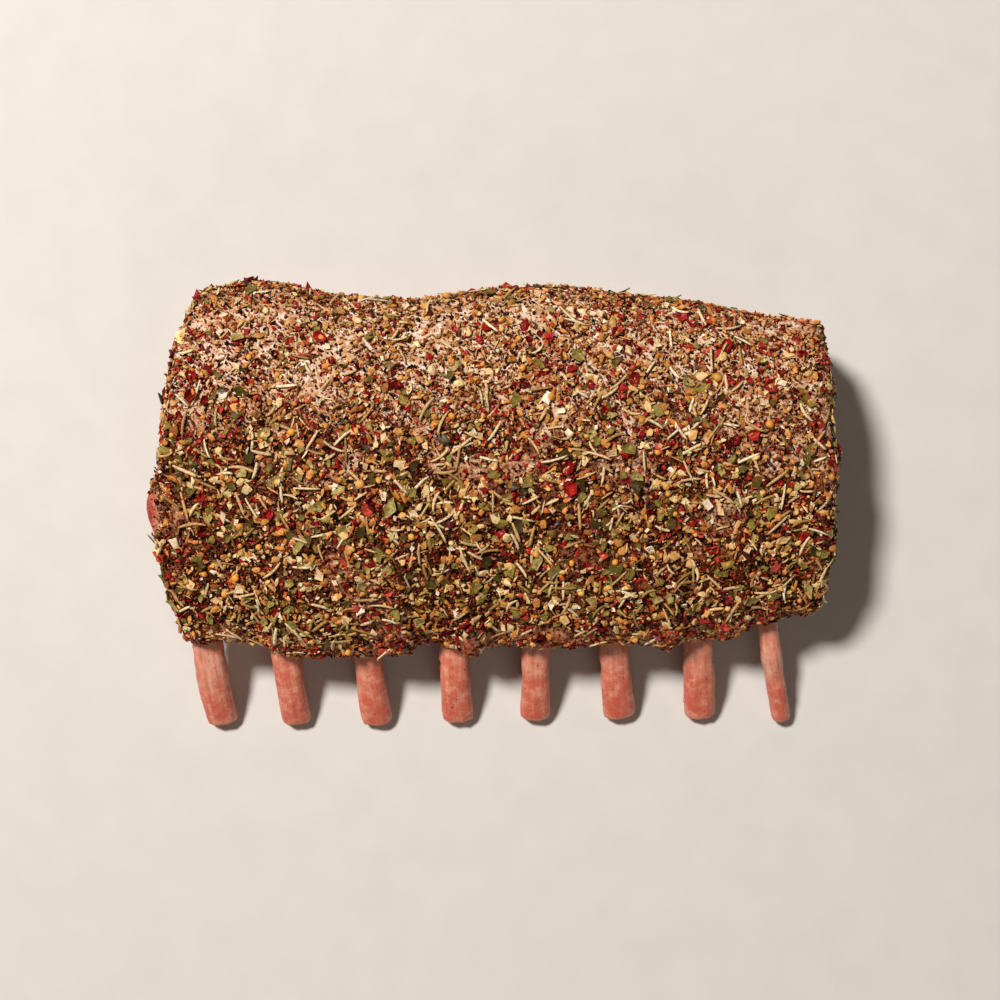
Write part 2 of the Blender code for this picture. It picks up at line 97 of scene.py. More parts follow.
LUMPS_FROM, LUMPS_TO = 0.03, 0.94
FOOT_REACH, FOOT_RAMP = 0.0210, 0.0090
LIFT = 0.4
RIB_TIP_Y, RIB_ENTRY_Y, RIB_CHINE_Y = -0.0898, -0.0580, 0.088
RIB_CROWN, RIB_TIP_HEIGHT, RIB_CHINE_SPAN = 0.0330, 0.00345, 0.098
RIB_CHINE_END, RIB_CHINE_PROUD = 0.962, 0.0003
RIB_BEND, RIB_SHOW, RIB_THICKNESS = 2.5, 0.0021, 0.0094
RIB_FLARE_REACH, RIB_CORNERS = 0.012, 0.86
SLIM_RIB, SLIM_RIB_SHARE = 0.010, 0.92
Rib = namedtuple("Rib", "tip_x entry_x chine_x width flare setback")
RIBS = tuple(Rib(*row) for row in (
    (-0.1191, -0.1222, -0.1080, 0.0134, 1.02, 0.0010),
    (-0.0868, -0.0893, -0.0780, 0.0128, 1.03, 0.0012),
    (-0.0515, -0.0545, -0.0450, 0.0126, 1.08, 0.0012),
    (-0.0162, -0.0175, -0.0120, 0.0124, 1.14, 0.0022),
    (0.0175, 0.0174, 0.0210, 0.0124, 1.12, 0.0031),
    (0.0548, 0.0508, 0.0540, 0.0132, 1.10, 0.0039),
    (0.0899, 0.0867, 0.0870, 0.0130, 1.06, 0.0039),
    (0.1256, 0.1175, 0.1180, 0.0084, 1.04, 0.0022),
))
SOLID_RIB_SIDES, SOLID_RIB_TAPER = 10, 0.07
SOLID_RIB_STATIONS = (0.0, 0.012, 0.05, 0.10, 0.16, 0.24, 0.36, 0.50, 0.66, 0.84, 1.0)
FRONT_PULL = (                 # x and mm: how far the front bulge lies back from the solid
    (-0.143, 2.6), (-0.128, 3.2), (-0.107, 2.8), (-0.103, 0.2), (-0.097, 0.0), (-0.089, 0.6),
    (-0.076, 2.2), (-0.061, 2.4), (-0.044, 2.4), (-0.038, 5.4), (-0.026, 4.2), (-0.019, 2.6),
    (-0.015, 0.0), (-0.011, 1.0), (-0.006, 4.4), (0.003, 3.5), (0.012, 2.4), (0.020, 1.3),
    (0.027, 0.0), (0.036, 0.0), (0.046, 1.5), (0.060, 2.8), (0.070, 2.5), (0.077, 0.2),
    (0.082, 4.0), (0.092, 4.4), (0.103, 0.8), (0.106, 0.0), (0.112, 2.9), (0.121, 1.9),
    (0.128, 4.0), (0.136, 3.4), (0.143, 3.0),
)

MM = 0.001


# ---- curves and noise
def spline(rows, position):
    """Values at positions on the Catmull-Rom curve through rows of (position, values...)."""
    knots = rows[:, 0]
    position = np.clip(position, knots[0], knots[-1])
    index = np.clip(np.searchsorted(knots, position) - 1, 0, len(rows) - 2)
    low = np.maximum(np.arange(len(rows)) - 1, 0)
    high = np.minimum(np.arange(len(rows)) + 1, len(rows) - 1)
    slopes = (rows[high, 1:] - rows[low, 1:]) / (knots[high] - knots[low])[:, None]
    span = knots[index + 1] - knots[index]
    share = ((position - knots[index]) / span)[..., None]
    span = span[..., None]
    return (
        rows[index, 1:] * (1 + 2 * share) * (1 - share) ** 2
        + slopes[index] * span * share * (1 - share) ** 2
        + rows[index + 1, 1:] * share ** 2 * (3 - 2 * share)
        + slopes[index + 1] * span * share ** 2 * (share - 1)
    )


def by_length(points):
    """Rows of (share of the length, values...) for a curve; a step across counts double."""
    points = np.array(points)
    steps = np.diff(points, axis=0) * (2.0, 1.0)
    lengths = np.concatenate([[0.0], np.cumsum(np.linalg.norm(steps, axis=1))])
    return np.column_stack([lengths / lengths[-1], points])


MANTLE_ROWS = by_length(MANTLE)


def smooth(low, high, value):
    share = np.clip((value - low) / (high - low), 0.0, 1.0)
    return share * share * (3 - 2 * share)


GRADIENTS = np.random.default_rng(5).normal(size=(256, 3))
GRADIENTS /= np.linalg.norm(GRADIENTS, axis=1)[:, None]
ORDER = np.random.default_rng(6).permutation(256)


def ripple(points, size, shift=0.0):
    """Gradient noise, about -0.6 to 0.6, with features of the given size."""
    places = np.asarray(points) / size + shift
    cell = np.floor(places).astype(int)
    inside = places - cell
    fade = inside ** 3 * (inside * (inside * 6 - 15) + 10)
    total = np.zeros(places.shape[:-1])
    for corner in np.ndindex(2, 2, 2):
        here = (cell + corner) & 255
        key = ORDER[(ORDER[(ORDER[here[..., 0]] + here[..., 1]) & 255] + here[..., 2]) & 255]
        value = np.sum(GRADIENTS[key] * (inside - corner), axis=-1)
        weight = np.where(np.array(corner) == 1, fade, 1 - fade)
        total += value * np.prod(weight, axis=-1)
    return total


def ripples(points, *layers):
    """Sum of ripples, each given as its height in mm, its size and its shift."""
    return sum(height * MM * ripple(points, size, shift) for height, size, shift in layers)


def bell(away, reach):
    return np.exp(-(away / reach) ** 2)


def unit(vectors):
    return vectors / np.maximum(np.linalg.norm(vectors, axis=-1, keepdims=True), 1e-12)


def between(start, end, shares):
    """Values at shares of the way from each start to its end."""
    return start[:, None] + (end - start)[:, None] * shares


def resampled(places, knots, rows):
    """Rows of values at the knots, read at other places."""
    return np.stack([np.interp(places, knots, column) for column in rows.T], axis=-1)


# ---- the section of the roast
def rib_height(y, tip_y=RIB_TIP_Y):
    span = np.where(y < 0, -tip_y, RIB_CHINE_SPAN)
    return RIB_CROWN - (RIB_CROWN - RIB_TIP_HEIGHT) * (np.abs(y) / span) ** RIB_BEND


def underside(y):
    return rib_height(y) - RIB_THICKNESS / 2 + RIB_SHOW


def station(share):
    """x at a share of the rack's length."""
    return (2 * share - 1) * HALF_LENGTH


def outline(x, along):
    """The section's y and z at a share of the way from the lip over the top to the foot."""
    rib_side, chine_side, height = np.moveaxis(spline(STATIONS, x), -1, 0)
    across, up = np.moveaxis(spline(MANTLE_ROWS, along), -1, 0)
    lip = underside(rib_side) - LIP_DROP - height * HEIGHT * MANTLE[0][1]
    lip_share = np.maximum(1 - along / LIP_REACH, 0.0) ** 2
    y = rib_side + (chine_side - rib_side) * across
    return np.stack([y, height * HEIGHT * up + lip * lip_share], axis=-1)


def inward(x, along, step=0.004):
    ahead = outline(x, np.minimum(along + step, 1.0))
    behind = outline(x, np.maximum(along - step, 0.0))
    direction = unit(ahead - behind)
    return np.stack([direction[..., 1], -direction[..., 0]], axis=-1)


def lumps(x, along):
    flat = [
        noise.noise(Vector((a * LUMPS_ALONG, b * LUMPS_AROUND, LUMP_LAYER)))
        for a, b in zip(x.ravel().tolist(), along.ravel().tolist())
    ]
    rise = LUMP_HEIGHT * np.array(flat).reshape(x.shape)
    return np.where((along > LUMPS_FROM) & (along < LUMPS_TO), rise, 0.0)


def fat_thickness(along):
    share = (along - FAT_FROM) / (FAT_TO - FAT_FROM)
    full = np.minimum(share / FAT_FULL_AT, 1.0) * (FAT_THICKNESS - FAT_FRONT_THICKNESS)
    full += FAT_FRONT_THICKNESS
    rise = np.clip(np.minimum(share, 1.0 - share) / FAT_FADE, 0.0, 1.0)
    return FAT_EDGE + (full - FAT_EDGE) * rise * rise * (3 - 2 * rise)


def end_face(y, z):
    left, right = np.moveaxis(spline(ENDS, y), -1, 0)
    back = END_LEAN * ((z - END_LEVEL) / END_LEAN_REACH) ** 2
    return left + back, right - back


def end_inset(share):
    reach = END_ROUND_REACH / (2 * HALF_LENGTH)
    close = np.maximum(1 - np.minimum(share, 1 - share) / reach, 0.0)
    return END_ROUND * (1 - np.sqrt(1 - close ** 2 * END_ROUND_FULL))


def put(share, section):
    """Points of sections, placed at shares of the way between the two end faces."""
    left, right = end_face(section[..., 0], section[..., 1])
    x = left + (right - left) * share
    return np.stack([x, section[..., 0], section[..., 1]], axis=-1)


def front_pull(x, along):
    """How far the front bulge draws back from the solid between and over the ribs."""
    reach = (0.8 + 0.2 * smooth(0.0, 0.068, along)) * (1 - smooth(0.18, 0.34, along))
    return np.interp(x, *np.transpose(FRONT_PULL)) * MM * reach


def mantle_section(share, along, depth=0.0):
    x = station(share)
    inset = end_inset(share) + depth - lumps(x, along) + front_pull(x, along)
    section = outline(x, along) + inward(x, along) * inset[..., None]
    section[..., 1] = np.maximum(section[..., 1], 0.0)
    return section


def length_shares(count, corner=5):
    """Shares of the rack's length, closer together at its rounded ends."""
    reach = END_ROUND_REACH / (2 * HALF_LENGTH)
    ends = reach * (np.arange(corner) / corner) ** 1.6
    middle = np.linspace(reach, 1 - reach, count - 2 * corner)
    return np.concatenate([ends, middle, 1 - ends[::-1]])


# ---- ribs
def rib_path(row, y):
    """x of a rib's centre line, a parabola through three places."""
    places = (RIB_TIP_Y, RIB_ENTRY_Y, RIB_CHINE_Y)
    total = 0.0
    for place, value in zip(places, row[:3]):
        weight = value
        for other in places:
            if other != place:
                weight = weight * (y - other) / (place - other)
        total = total + weight
    return total


def rib_axis(row, y):
    return np.stack([rib_path(row, y), y, rib_height(y, RIB_TIP_Y + row.setback)], axis=-1)


def rib_end(row):
    """How far back a rib's solid reaches."""
    share_at = np.array((row.chine_x / HALF_LENGTH + 1) / 2)
    return mantle_section(share_at, np.array(RIB_CHINE_END))[0] + RIB_CHINE_PROUD


def rib_rings(row, sides, stations):
    """Points (station, side) of a rib, without the caps, and its stations' y."""
    tip_y = RIB_TIP_Y + row.setback
    end_y = rib_end(row)
    y = tip_y + (end_y - tip_y) * stations
    centre = rib_axis(row, y)
    tangent = unit(rib_axis(row, y + 0.0005) - centre)
    side = np.zeros_like(tangent)
    side[:, 0] = 1.0
    side[:, 1] = -tangent[:, 0] / tangent[:, 1]
    side = unit(side)
    square = unit(np.cross(side, tangent))
    upright = np.zeros_like(square)
    upright[:, 2] = 1.0 / square[:, 2]
    up = square + (upright - square) * stations[:, None]
    flare = 1.0 + (row.flare - 1.0) * bell(y - tip_y, RIB_FLARE_REACH)
    flare = flare + 0.03 * np.sin(y * 90.0 + row.tip_x * 300.0)
    thinner = SLIM_RIB_SHARE if row.width < SLIM_RIB else 1.0
    angle = 2 * math.pi * (np.arange(sides) + 0.5) / sides
    wide, high = (
        np.sign(turn) * np.abs(turn) ** RIB_CORNERS for turn in (np.cos(angle), np.sin(angle)))
    half_width = (row.width / 2 * flare)[:, None, None]
    half_height = RIB_THICKNESS / 2 * thinner
    spokes = side[:, None] * wide[:, None] * half_width + up[:, None] * high[:, None] * half_height
    return centre[:, None] + spokes, spokes, y


def solid_rib_box(row):
    """Lowest and highest corner of a rib's solid, before the roast was moved to its origin."""
    rings, spokes, _ = rib_rings(row, SOLID_RIB_SIDES, np.array(SOLID_RIB_STATIONS))
    rings[[0, -1]] -= spokes[[0, -1]] * SOLID_RIB_TAPER
    return rings.reshape(-1, 3).min(0), rings.reshape(-1, 3).max(0)


def frame_shift():
    """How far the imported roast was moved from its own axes."""
    shifts = []
    for number, row in enumerate(RIBS, start=1):
        low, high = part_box(f"rib_{number}")
        own_low, own_high = solid_rib_box(row)
        shifts.append((np.array(low) + np.array(high) - own_low - own_high) / 2)
    return np.mean(shifts, axis=0)


SHIFT = frame_shift()


# ---- meshes
def grid_faces(rows, columns, wrap=False, first=0):
    """Quads of a grid of vertices, numbered row by row."""
    row, column = np.meshgrid(
        np.arange(rows - 1), np.arange(columns if wrap else columns - 1), indexing="ij")
    after = (column + 1) % columns
    return first + np.stack([
        row * columns + column, row * columns + after,
        (row + 1) * columns + after, (row + 1) * columns + column], axis=-1).reshape(-1, 4)


def link(thing):
    bpy.context.scene.collection.objects.link(thing)


def new_piece(name, vertices, faces, material, nodes, shaded_smooth=True):
    """A mesh piece on the body root, in place of the given nodes."""
    mesh = bpy.data.meshes.new(name)
    faces = [face for part in faces for face in np.asarray(part).tolist()]
    mesh.from_pydata((vertices + SHIFT).tolist(), [], faces)
    if shaded_smooth:
        mesh.shade_smooth()
    mesh.materials.append(material)
    piece = bpy.data.objects.new(name, mesh)
    link(piece)
    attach(piece, "root")
    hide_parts(*nodes)
    return piece


def outward(mesh):
    """Turns all faces of a closed mesh outwards."""
    work = bmesh.new()
    work.from_mesh(mesh)
    bmesh.ops.recalc_face_normals(work, faces=work.faces)
    work.to_mesh(mesh)
    work.free()


def add_attribute(piece, name, values, kind="FLOAT", field="value"):
    """Stores values for each vertex of a piece."""
    layer = piece.data.attributes.new(name, kind, "POINT")
    layer.data.foreach_set(field, np.asarray(values, dtype=np.float32).ravel())


def add_masks(piece, **masks):
    for name, values in masks.items():
        add_attribute(piece, name, values)


# ---- node materials
def rgb(*colour):
    """Linear colour of three sRGB values, 0 to 255; four values are linear already."""
    if len(colour) == 4:
        return colour
    shares = np.array(colour) / 255
    linear = np.where(shares <= 0.04045, shares / 12.92, ((shares + 0.055) / 1.055) ** 2.4)
    return (*linear.tolist(), 1.0)


class Tree:
    """A material's node tree, with short ways to add nodes. Sizes are in metres."""

    def __init__(self, name):
        self.material = bpy.data.materials.new(name)
        self.material.use_nodes = True
        self.nodes = self.material.node_tree.nodes
        self.links = self.material.node_tree.links
        self.shader = self.nodes["Principled BSDF"]
        self.place = self.add("ShaderNodeTexCoord").outputs["Object"]

    def add(self, kind, inputs=None, **settings):
        node = self.nodes.new(kind)
        for key, value in settings.items():
            setattr(node, key, value)
        for key, value in (inputs or {}).items():
            self.feed(node.inputs[key], value)
        return node

    def feed(self, socket, value):
        if isinstance(value, bpy.types.NodeSocket):
            self.links.new(value, socket)
        else:
            socket.default_value = rgb(*value) if socket.type == "RGBA" else value

    def set(self, **values):
        for key, value in values.items():
            self.feed(self.shader.inputs[key.replace("_", " ")], value)

    def masks(self, *names):
        return [self.attribute(name, "Fac") for name in names]

    def attribute(self, name, output):
        return self.add("ShaderNodeAttribute", attribute_name=name).outputs[output]

    def stretched(self, scale):
        return self.add("ShaderNodeMapping", {"Vector": self.place, "Scale": scale}).outputs[0]

    def noise(self, size, detail=2.0, rough=0.5, place=None, distortion=0.0):
        inputs = {"Vector": place or self.place, "Scale": 1.0 / size, "Detail": detail,
                  "Roughness": rough, "Distortion": distortion}
        return self.add("ShaderNodeTexNoise", inputs).outputs["Fac"]

    def cells(self, size, output):
        inputs = {"Vector": self.place, "Scale": 1.0 / size}
        return self.add("ShaderNodeTexVoronoi", inputs).outputs[output]

    def ramp(self, factor, *stops):
        """Colours between stops of (position, colour values...)."""
        node = self.add("ShaderNodeValToRGB", {"Fac": factor})
        elements = node.color_ramp.elements
        while len(elements) < len(stops):
            elements.new(0.5)
        for element, (position, *colour) in zip(elements, stops):
            element.position = position
            element.color = rgb(*colour)
        return node.outputs["Color"]

    def mottled(self, size, detail, rough, *stops):
        return self.ramp(self.noise(size, detail, rough), *stops)

    def level(self, factor, low, high, to_low=0.0, to_high=1.0):
        inputs = {"Value": factor, "From Min": low, "From Max": high,
                  "To Min": to_low, "To Max": to_high}
        return self.add("ShaderNodeMapRange", inputs).outputs["Result"]

    def ragged(self, mask, fray, noise):
        """A mask whose soft edge is frayed by a noise."""
        frayed = self.plus(mask, self.level(noise, 0.3, 0.7, -fray, fray))
        return self.level(frayed, 0.35, 0.65)

    def mix(self, factor, first, second, blend="MIX"):
        inputs = {0: factor, 6: first, 7: second}
        return self.add("ShaderNodeMix", inputs, data_type="RGBA", blend_type=blend).outputs[2]

    def plus(self, first, second):
        return self.add("ShaderNodeMath", {0: first, 1: second}, operation="ADD").outputs[0]

    def times(self, first, second):
        return self.add("ShaderNodeMath", {0: first, 1: second}, operation="MULTIPLY").outputs[0]

    def bump(self, height, distance, strength):
        inputs = {"Height": height, "Distance": distance, "Strength": strength}
        self.set(Normal=self.add("ShaderNodeBump", inputs).outputs["Normal"])


def fat_material():
    tree = Tree("crusted_fat")
    paste, rosy, bare, flesh, torn = tree.masks("paste", "rosy", "bare", "flesh", "torn")
    pale = tree.mottled(
        0.0045, 5.0, 0.65, (0.32, 160, 106, 64), (0.46, 206, 162, 120), (0.60, 238, 223, 206))
    pink = tree.mottled(
        0.0045, 4.0, 0.65, (0.32, 152, 74, 42), (0.50, 198, 122, 80), (0.68, 230, 174, 134))
    lean = tree.mottled(
        0.004, 4.0, 0.65, (0.32, 128, 40, 34), (0.50, 186, 84, 72), (0.68, 224, 146, 128))
    # Painted light: the scraps colour that the torn mask puts on the front edge is the fat's own
    # orange-pink, brightened to stand in for light bounced onto that shaded, down-facing edge.
    scraps = tree.mottled(
        0.0035, 4.0, 0.65, (0.32, 164, 64, 34), (0.45, 218, 118, 74), (0.60, 242, 178, 136))
    fat = tree.mix(torn, tree.mix(flesh, tree.mix(rosy, pale, pink), lean), scraps)
    grit = tree.ramp(
        tree.cells(0.0010, "Color"), (0.00, 26, 7, 2), (0.28, 58, 22, 8), (0.48, 104, 54, 24),
        (0.58, 70, 42, 14), (0.70, 140, 80, 38), (0.84, 92, 18, 10), (0.94, 176, 122, 70))
    # Painted shade: the near-black paste where the rub lies thick is partly the paste's own soaked
    # colour and partly painted shade in the gaps between the rub's pieces; the bare mask swaps in
    # the paler film.
    soaked_paste_and_painted_shade = tree.mix(tree.noise(0.004, 3.0, 0.6), (28, 6, 1), (94, 40, 16))
    film = tree.mottled(
        0.003, 4.0, 0.65, (0.32, 98, 42, 16), (0.50, 152, 86, 46), (0.68, 204, 146, 104))
    crust = tree.mix(0.55, tree.mix(bare, soaked_paste_and_painted_shade, film), grit)
    specks = tree.level(tree.noise(0.0011, 1.5, 0.5), 0.60, 0.67)
    specked = tree.mix(tree.times(specks, 0.7), fat, grit)
    cover = tree.ragged(paste, 0.35, tree.noise(0.0022, 4.0, 0.7))
    tree.set(Base_Color=tree.mix(cover, specked, crust), Subsurface_Weight=0.08,
             Subsurface_Radius=(0.9, 0.5, 0.3), Subsurface_Scale=0.002, Coat_Weight=0.08,
             Coat_Roughness=0.25, Specular_IOR_Level=0.18,
             Roughness=tree.level(tree.noise(0.003, 3.0), 0.3, 0.7, 0.34, 0.60))
    rough = tree.plus(tree.noise(0.0012, 4.0, 0.7), tree.cells(0.0014, "Distance"))
    tree.bump(rough, 0.0006, 0.8)
    return tree.material


def lean_material():
    tree = Tree("lean")
    seam, skin = tree.masks("seam", "skin")
    fibres = tree.noise(0.0016, 4.0, 0.65, tree.stretched((0.35, 1.0, 1.0)), 0.6)
    flesh = tree.ramp(
        fibres, (0.28, 112, 32, 26), (0.45, 160, 64, 50), (0.60, 190, 94, 76),
        (0.75, 212, 134, 112))
    marbling = tree.level(tree.noise(0.006, 5.0, 0.7, distortion=1.2), 0.56, 0.64)
    flesh = tree.mix(tree.times(marbling, 0.6), flesh, (232, 196, 174))
    fat = tree.mottled(
        0.003, 4.0, 0.6, (0.32, 206, 146, 112), (0.50, 226, 182, 150), (0.68, 240, 214, 186))
    colour = tree.mix(tree.ragged(seam, 0.2, tree.noise(0.002, 3.0)), flesh, fat)
    film = tree.ramp(
        tree.noise(0.010, 5.0, 0.6, tree.stretched((1.0, 0.35, 1.0)), 0.8),
        (0.30, 176, 92, 80), (0.50, 206, 142, 126), (0.70, 228, 188, 170))
    colour = tree.mix(tree.times(skin, 0.75), colour, film)
    tree.set(Base_Color=colour, Subsurface_Weight=0.15, Subsurface_Radius=(1.0, 0.35, 0.25),
             Subsurface_Scale=0.003, Coat_Weight=0.35, Coat_Roughness=0.18,
             Roughness=tree.level(fibres, 0.3, 0.7, 0.26, 0.46))
    tree.bump(tree.plus(fibres, marbling), 0.0005, 0.6)
    return tree.material


def bone_material():
    tree = Tree("bone")
    near, cut, marrow, tipward = tree.masks("near", "cut", "marrow", "tipward")
    along = tree.attribute("grain", "Vector")
    streaks = tree.noise(0.0021, 4.0, 0.60, along)
    threads = tree.noise(0.0008, 2.0, 0.5, along)
    clouds = tree.noise(0.0048, 5.0, 0.65)
    dots = tree.noise(0.0013, 3.0, 0.6)
    bone = tree.ramp(
        streaks, (0.28, 198, 98, 74), (0.44, 211, 116, 90), (0.56, 220, 134, 108),
        (0.72, 234, 164, 138))
    for pattern, low, high, most, colour in (
            (threads, 0.54, 0.70, 0.16, (180, 72, 54)),
            (threads, 0.44, 0.30, 0.16, (240, 186, 158)),
            (clouds, 0.46, 0.62, 0.62, (198, 80, 64)),
            (clouds, 0.47, 0.32, 0.60, (238, 182, 160)),
            (dots, 0.56, 0.68, 0.55, (172, 58, 48))):
        bone = tree.mix(tree.level(pattern, low, high, 0.0, most), bone, colour)
    tips = tree.times(tipward, tree.level(clouds, 0.35, 0.62, 0.08, 0.45))
    bone = tree.mix(tips, bone, (214, 84, 64))
    film = tree.ramp(
        tree.noise(0.0018, 4.0, 0.7, along),
        (0.30, 178, 102, 84), (0.48, 208, 144, 120), (0.68, 232, 190, 168))
    patches = tree.level(tree.noise(0.0042, 5.0, 0.7), 0.36, 0.60, 0.25, 1.10)
    bone = tree.mix(tree.times(near, patches), bone, film)
    rim = tree.mix(tree.noise(0.0012, 3.0), (232, 132, 92), (250, 190, 142))
    core = tree.ramp(tree.cells(0.0009, "Distance"), (0.1, 92, 16, 12), (0.6, 176, 66, 48))
    colour = tree.mix(marrow, tree.mix(cut, bone, rim), core)
    tree.set(Base_Color=colour, Subsurface_Weight=0.10, Subsurface_Radius=(1.0, 0.4, 0.3),
             Subsurface_Scale=0.002, Coat_Weight=0.16, Coat_Roughness=0.28,
             Roughness=tree.level(streaks, 0.3, 0.7, 0.42, 0.58))
    tree.bump(tree.plus(clouds, threads), 0.0004, 0.45)
    return tree.material


def rub_material(name, grain, bump, roughness, coat=0.0, darkest=0.55, shine=0.16):
    """Finish of one kind of the rub: its own tint, mottled by a fine grain."""
    tree = Tree(name)
    mottle = tree.noise(grain, 3.0, 0.6)
    shade = tree.ramp(
        mottle, (0.30, darkest, darkest * 0.86, darkest * 0.70, 1.0), (0.60, 1.0, 1.0, 1.0, 1.0))
    colour = tree.mix(1.0, tree.attribute("tint", "Color"), shade, "MULTIPLY")
    tree.set(Base_Color=colour, Coat_Weight=coat, Coat_Roughness=0.3, Specular_IOR_Level=shine,
             Roughness=tree.level(mottle, 0.3, 0.7, roughness + 0.08, roughness - 0.08))
    tree.bump(mottle, bump, 0.7)
    return tree.material


def floor_material():
    tree = Tree("floor")
    colour = tree.mottled(0.02, 2.0, 0.5, (0.3, 206, 207, 206), (0.7, 210, 211, 210))
    tree.set(Base_Color=colour, Roughness=0.7)
    return tree.material


# ---- fat cap
FAT_RINGS, FAT_STEPS, FAT_RATIO = 221, 146, 5
RUB_ROOM = 0.0004              # the fat lies this much inside the solid, for the rub on top


def fat_relief(points, along, share):
    """Small rise and fall of the rubbed fat, torn at its front edge, faint at its borders."""
    coarse = ripples(points, (0.65, 0.0085, 0.0), (0.35, 0.0034, 7.3))
    edge = bell(along - FAT_FROM, 0.045)
    torn = edge * MM * ripple(points, 0.0060, 3.1) - RUB_ROOM
    fade = smooth(0.0, 0.012, np.minimum(along - FAT_FROM, FAT_TO - along))
    fade = fade * smooth(0.0, 0.010, np.minimum(share, 1 - share)) * 0.8 + 0.2
    return (coarse + torn) * fade


def fat_outer():
    """Grid of the fat's outside: shares of the length, shares round the section, points."""
    share, along = np.meshgrid(
        length_shares(FAT_RINGS), np.linspace(FAT_FROM, FAT_TO, FAT_STEPS), indexing="ij")
    points = put(share, mantle_section(share, along))
    rise = fat_relief(points, along, share)
    points[..., 1:] -= inward(station(share), along) * rise[..., None]
    return share, along, points


BARE_SPOTS = (                 # x, y and reach in x and y, in mm, and strength
    (-142, 4, 7, 17, 1.0), (-109, 74, 13, 6, 0.9), (-109, 62, 9, 6, 0.7), (-116, 37, 4, 11, 0.8),
    (-131, 72, 5, 9, 0.6), (63, 67, 7, 6, 0.8), (111, 72, 9, 5, 0.9), (129, 76, 9, 5, 0.9),
    (136, 37, 4, 14, 0.9), (134, 16, 5, 9, 0.6), (23, 30, 8, 6, 0.5), (46, 16, 9, 7, 0.6),
    (34, -21, 11, 8, 0.7), (2, 0, 9, 7, 0.5), (28, -11, 8, 6, 0.5), (-124, -7, 7, 8, 0.6),
    (-114, -15, 7, 6, 0.5), (-127, -25, 5, 8, 0.6), (-84, -29, 8, 6, 0.6), (-60, 66, 12, 6, 0.6),
    (-20, 70, 12, 5, 0.6), (20, 74, 12, 6, 0.6), (-82, -49, 8, 4, 0.7), (-40, -54, 12, 4, 0.8),
    (-2, -52, 10, 4, 0.8), (24, -53, 10, 4, 0.9), (62, -51, 9, 4, 0.7), (108, -48, 12, 4, 0.8),
)
BARE_LOBES = ((-143, 1, 11, 22, 1.0), (-138, 19, 8, 9, 1.0))


def placed(points, spots, warp, low, high, skew=1.0):
    """1 at the heart of the strongest placed spots, for points in the frame."""
    total = np.zeros(points.shape[:-1])
    for x, y, reach_x, reach_y, strength in spots:
        away = np.hypot((points[..., 0] / MM - x + warp) / reach_x,
                        (points[..., 1] / MM - y + skew * warp) / reach_y)
        total = np.maximum(total, strength * (1 - smooth(low, high, away)))
    return total


def bare_spots(points):
    """How bare the rub's placed patches leave the fat, up to 1."""
    return placed(points, BARE_SPOTS, 3.0 * ripple(points, 0.007, 6.1), 0.55, 1.35)


def bare_lobes(points):
    """1 on the lean lobes of one end that carry no rub."""
    return placed(points, BARE_LOBES, 4.0 * ripple(points, 0.007, 1.3), 0.60, 1.10, 2.0)


def front_edge(points):
    """1 at the torn front edge of the fat, 0 from about a centimetre above it."""
    front = spline(STATIONS, points[..., 0] - SHIFT[0])[..., 0] + SHIFT[1]
    behind = points[..., 1] - front + 4 * MM * ripple(points, 0.010, 7.7)
    return 1 - smooth(0.004, 0.013, behind)


def thin_rub(points):
    """1 in the patches where the rub lies thin, for points in the frame."""
    return smooth(0.06, 0.34, ripple(points, 0.021, 5.7) + 0.35 * ripple(points, 0.008, 3.3))


def front_share(points):
    """1 in the thickly rubbed front, 0 in the pale back, for points in the frame."""
    wobble = ripples(points, (14, 0.045, 2.2), (7, 0.016, 9.1))
    return 1 - smooth(-0.005, 0.072, points[..., 1] + wobble)


def fat_stitches(fine, coarse):
    """Triangles that join the border of the outer grid to that of the inner one."""
    stitches = []
    half = FAT_RATIO // 2 + 1
    for index, corner in enumerate(coarse):
        following = coarse[(index + 1) % len(coarse)]
        strip = fine.take(range(index * FAT_RATIO, (index + 1) * FAT_RATIO + 1), mode="wrap")
        for step in range(FAT_RATIO):
            stitches.append((strip[step + 1], strip[step], corner if step < half else following))
        stitches.append((strip[half], corner, following))
    return np.array(stitches)


def build_fat():
    share, along, outer = fat_outer()
    inner_share, inner_along = share[::FAT_RATIO, ::FAT_RATIO], along[::FAT_RATIO, ::FAT_RATIO]
    inner = put(inner_share, mantle_section(inner_share, inner_along, fat_thickness(inner_along)))
    vertices = np.concatenate([outer.reshape(-1, 3), inner.reshape(-1, 3)])
    count = FAT_RINGS * FAT_STEPS
    inner_size = inner.shape[:2]
    faces = [
        grid_faces(FAT_RINGS, FAT_STEPS), grid_faces(*inner_size, first=count)[:, ::-1],
        fat_stitches(border(FAT_RINGS, FAT_STEPS), border(*inner_size) + count)]
    piece = new_piece(
        "fat_crust", vertices, faces, fat_material(), ["fat_cap"])
    outward(piece.data)
    places = vertices + SHIFT
    front = front_share(places)
    bare = np.maximum(thin_rub(places), bare_spots(places))
    paste = (0.12 + 0.88 * front) * (1 - 0.45 * bare)
    around = np.concatenate([along.ravel(), inner_along.ravel()])
    wall = np.concatenate([
        np.isin(share.ravel(), (0.0, 1.0)) * 0.5, np.full(inner_along.size, 1.0)])
    flesh = bare_lobes(places)
    # torn marks the front edge, where the fat's colour is brightened as painted bounce light on
    # the shaded edge, and where the paste is thinned.
    torn = np.maximum(front_edge(places), 0.5 * (around < FAT_FROM + 0.02))
    paste = paste * (1 - 0.85 * torn) * (1 - 0.7 * wall) * (1 - flesh)
    rosy = np.clip(0.06 + 0.55 * front + 0.6 * ripple(places, 0.025, 1.7), 0, 1)
    add_masks(piece, paste=paste, bare=bare, rosy=rosy, flesh=flesh, torn=torn)
    return outer, [end_wall(outer[row], inner[row]) for row in (0, -1)]


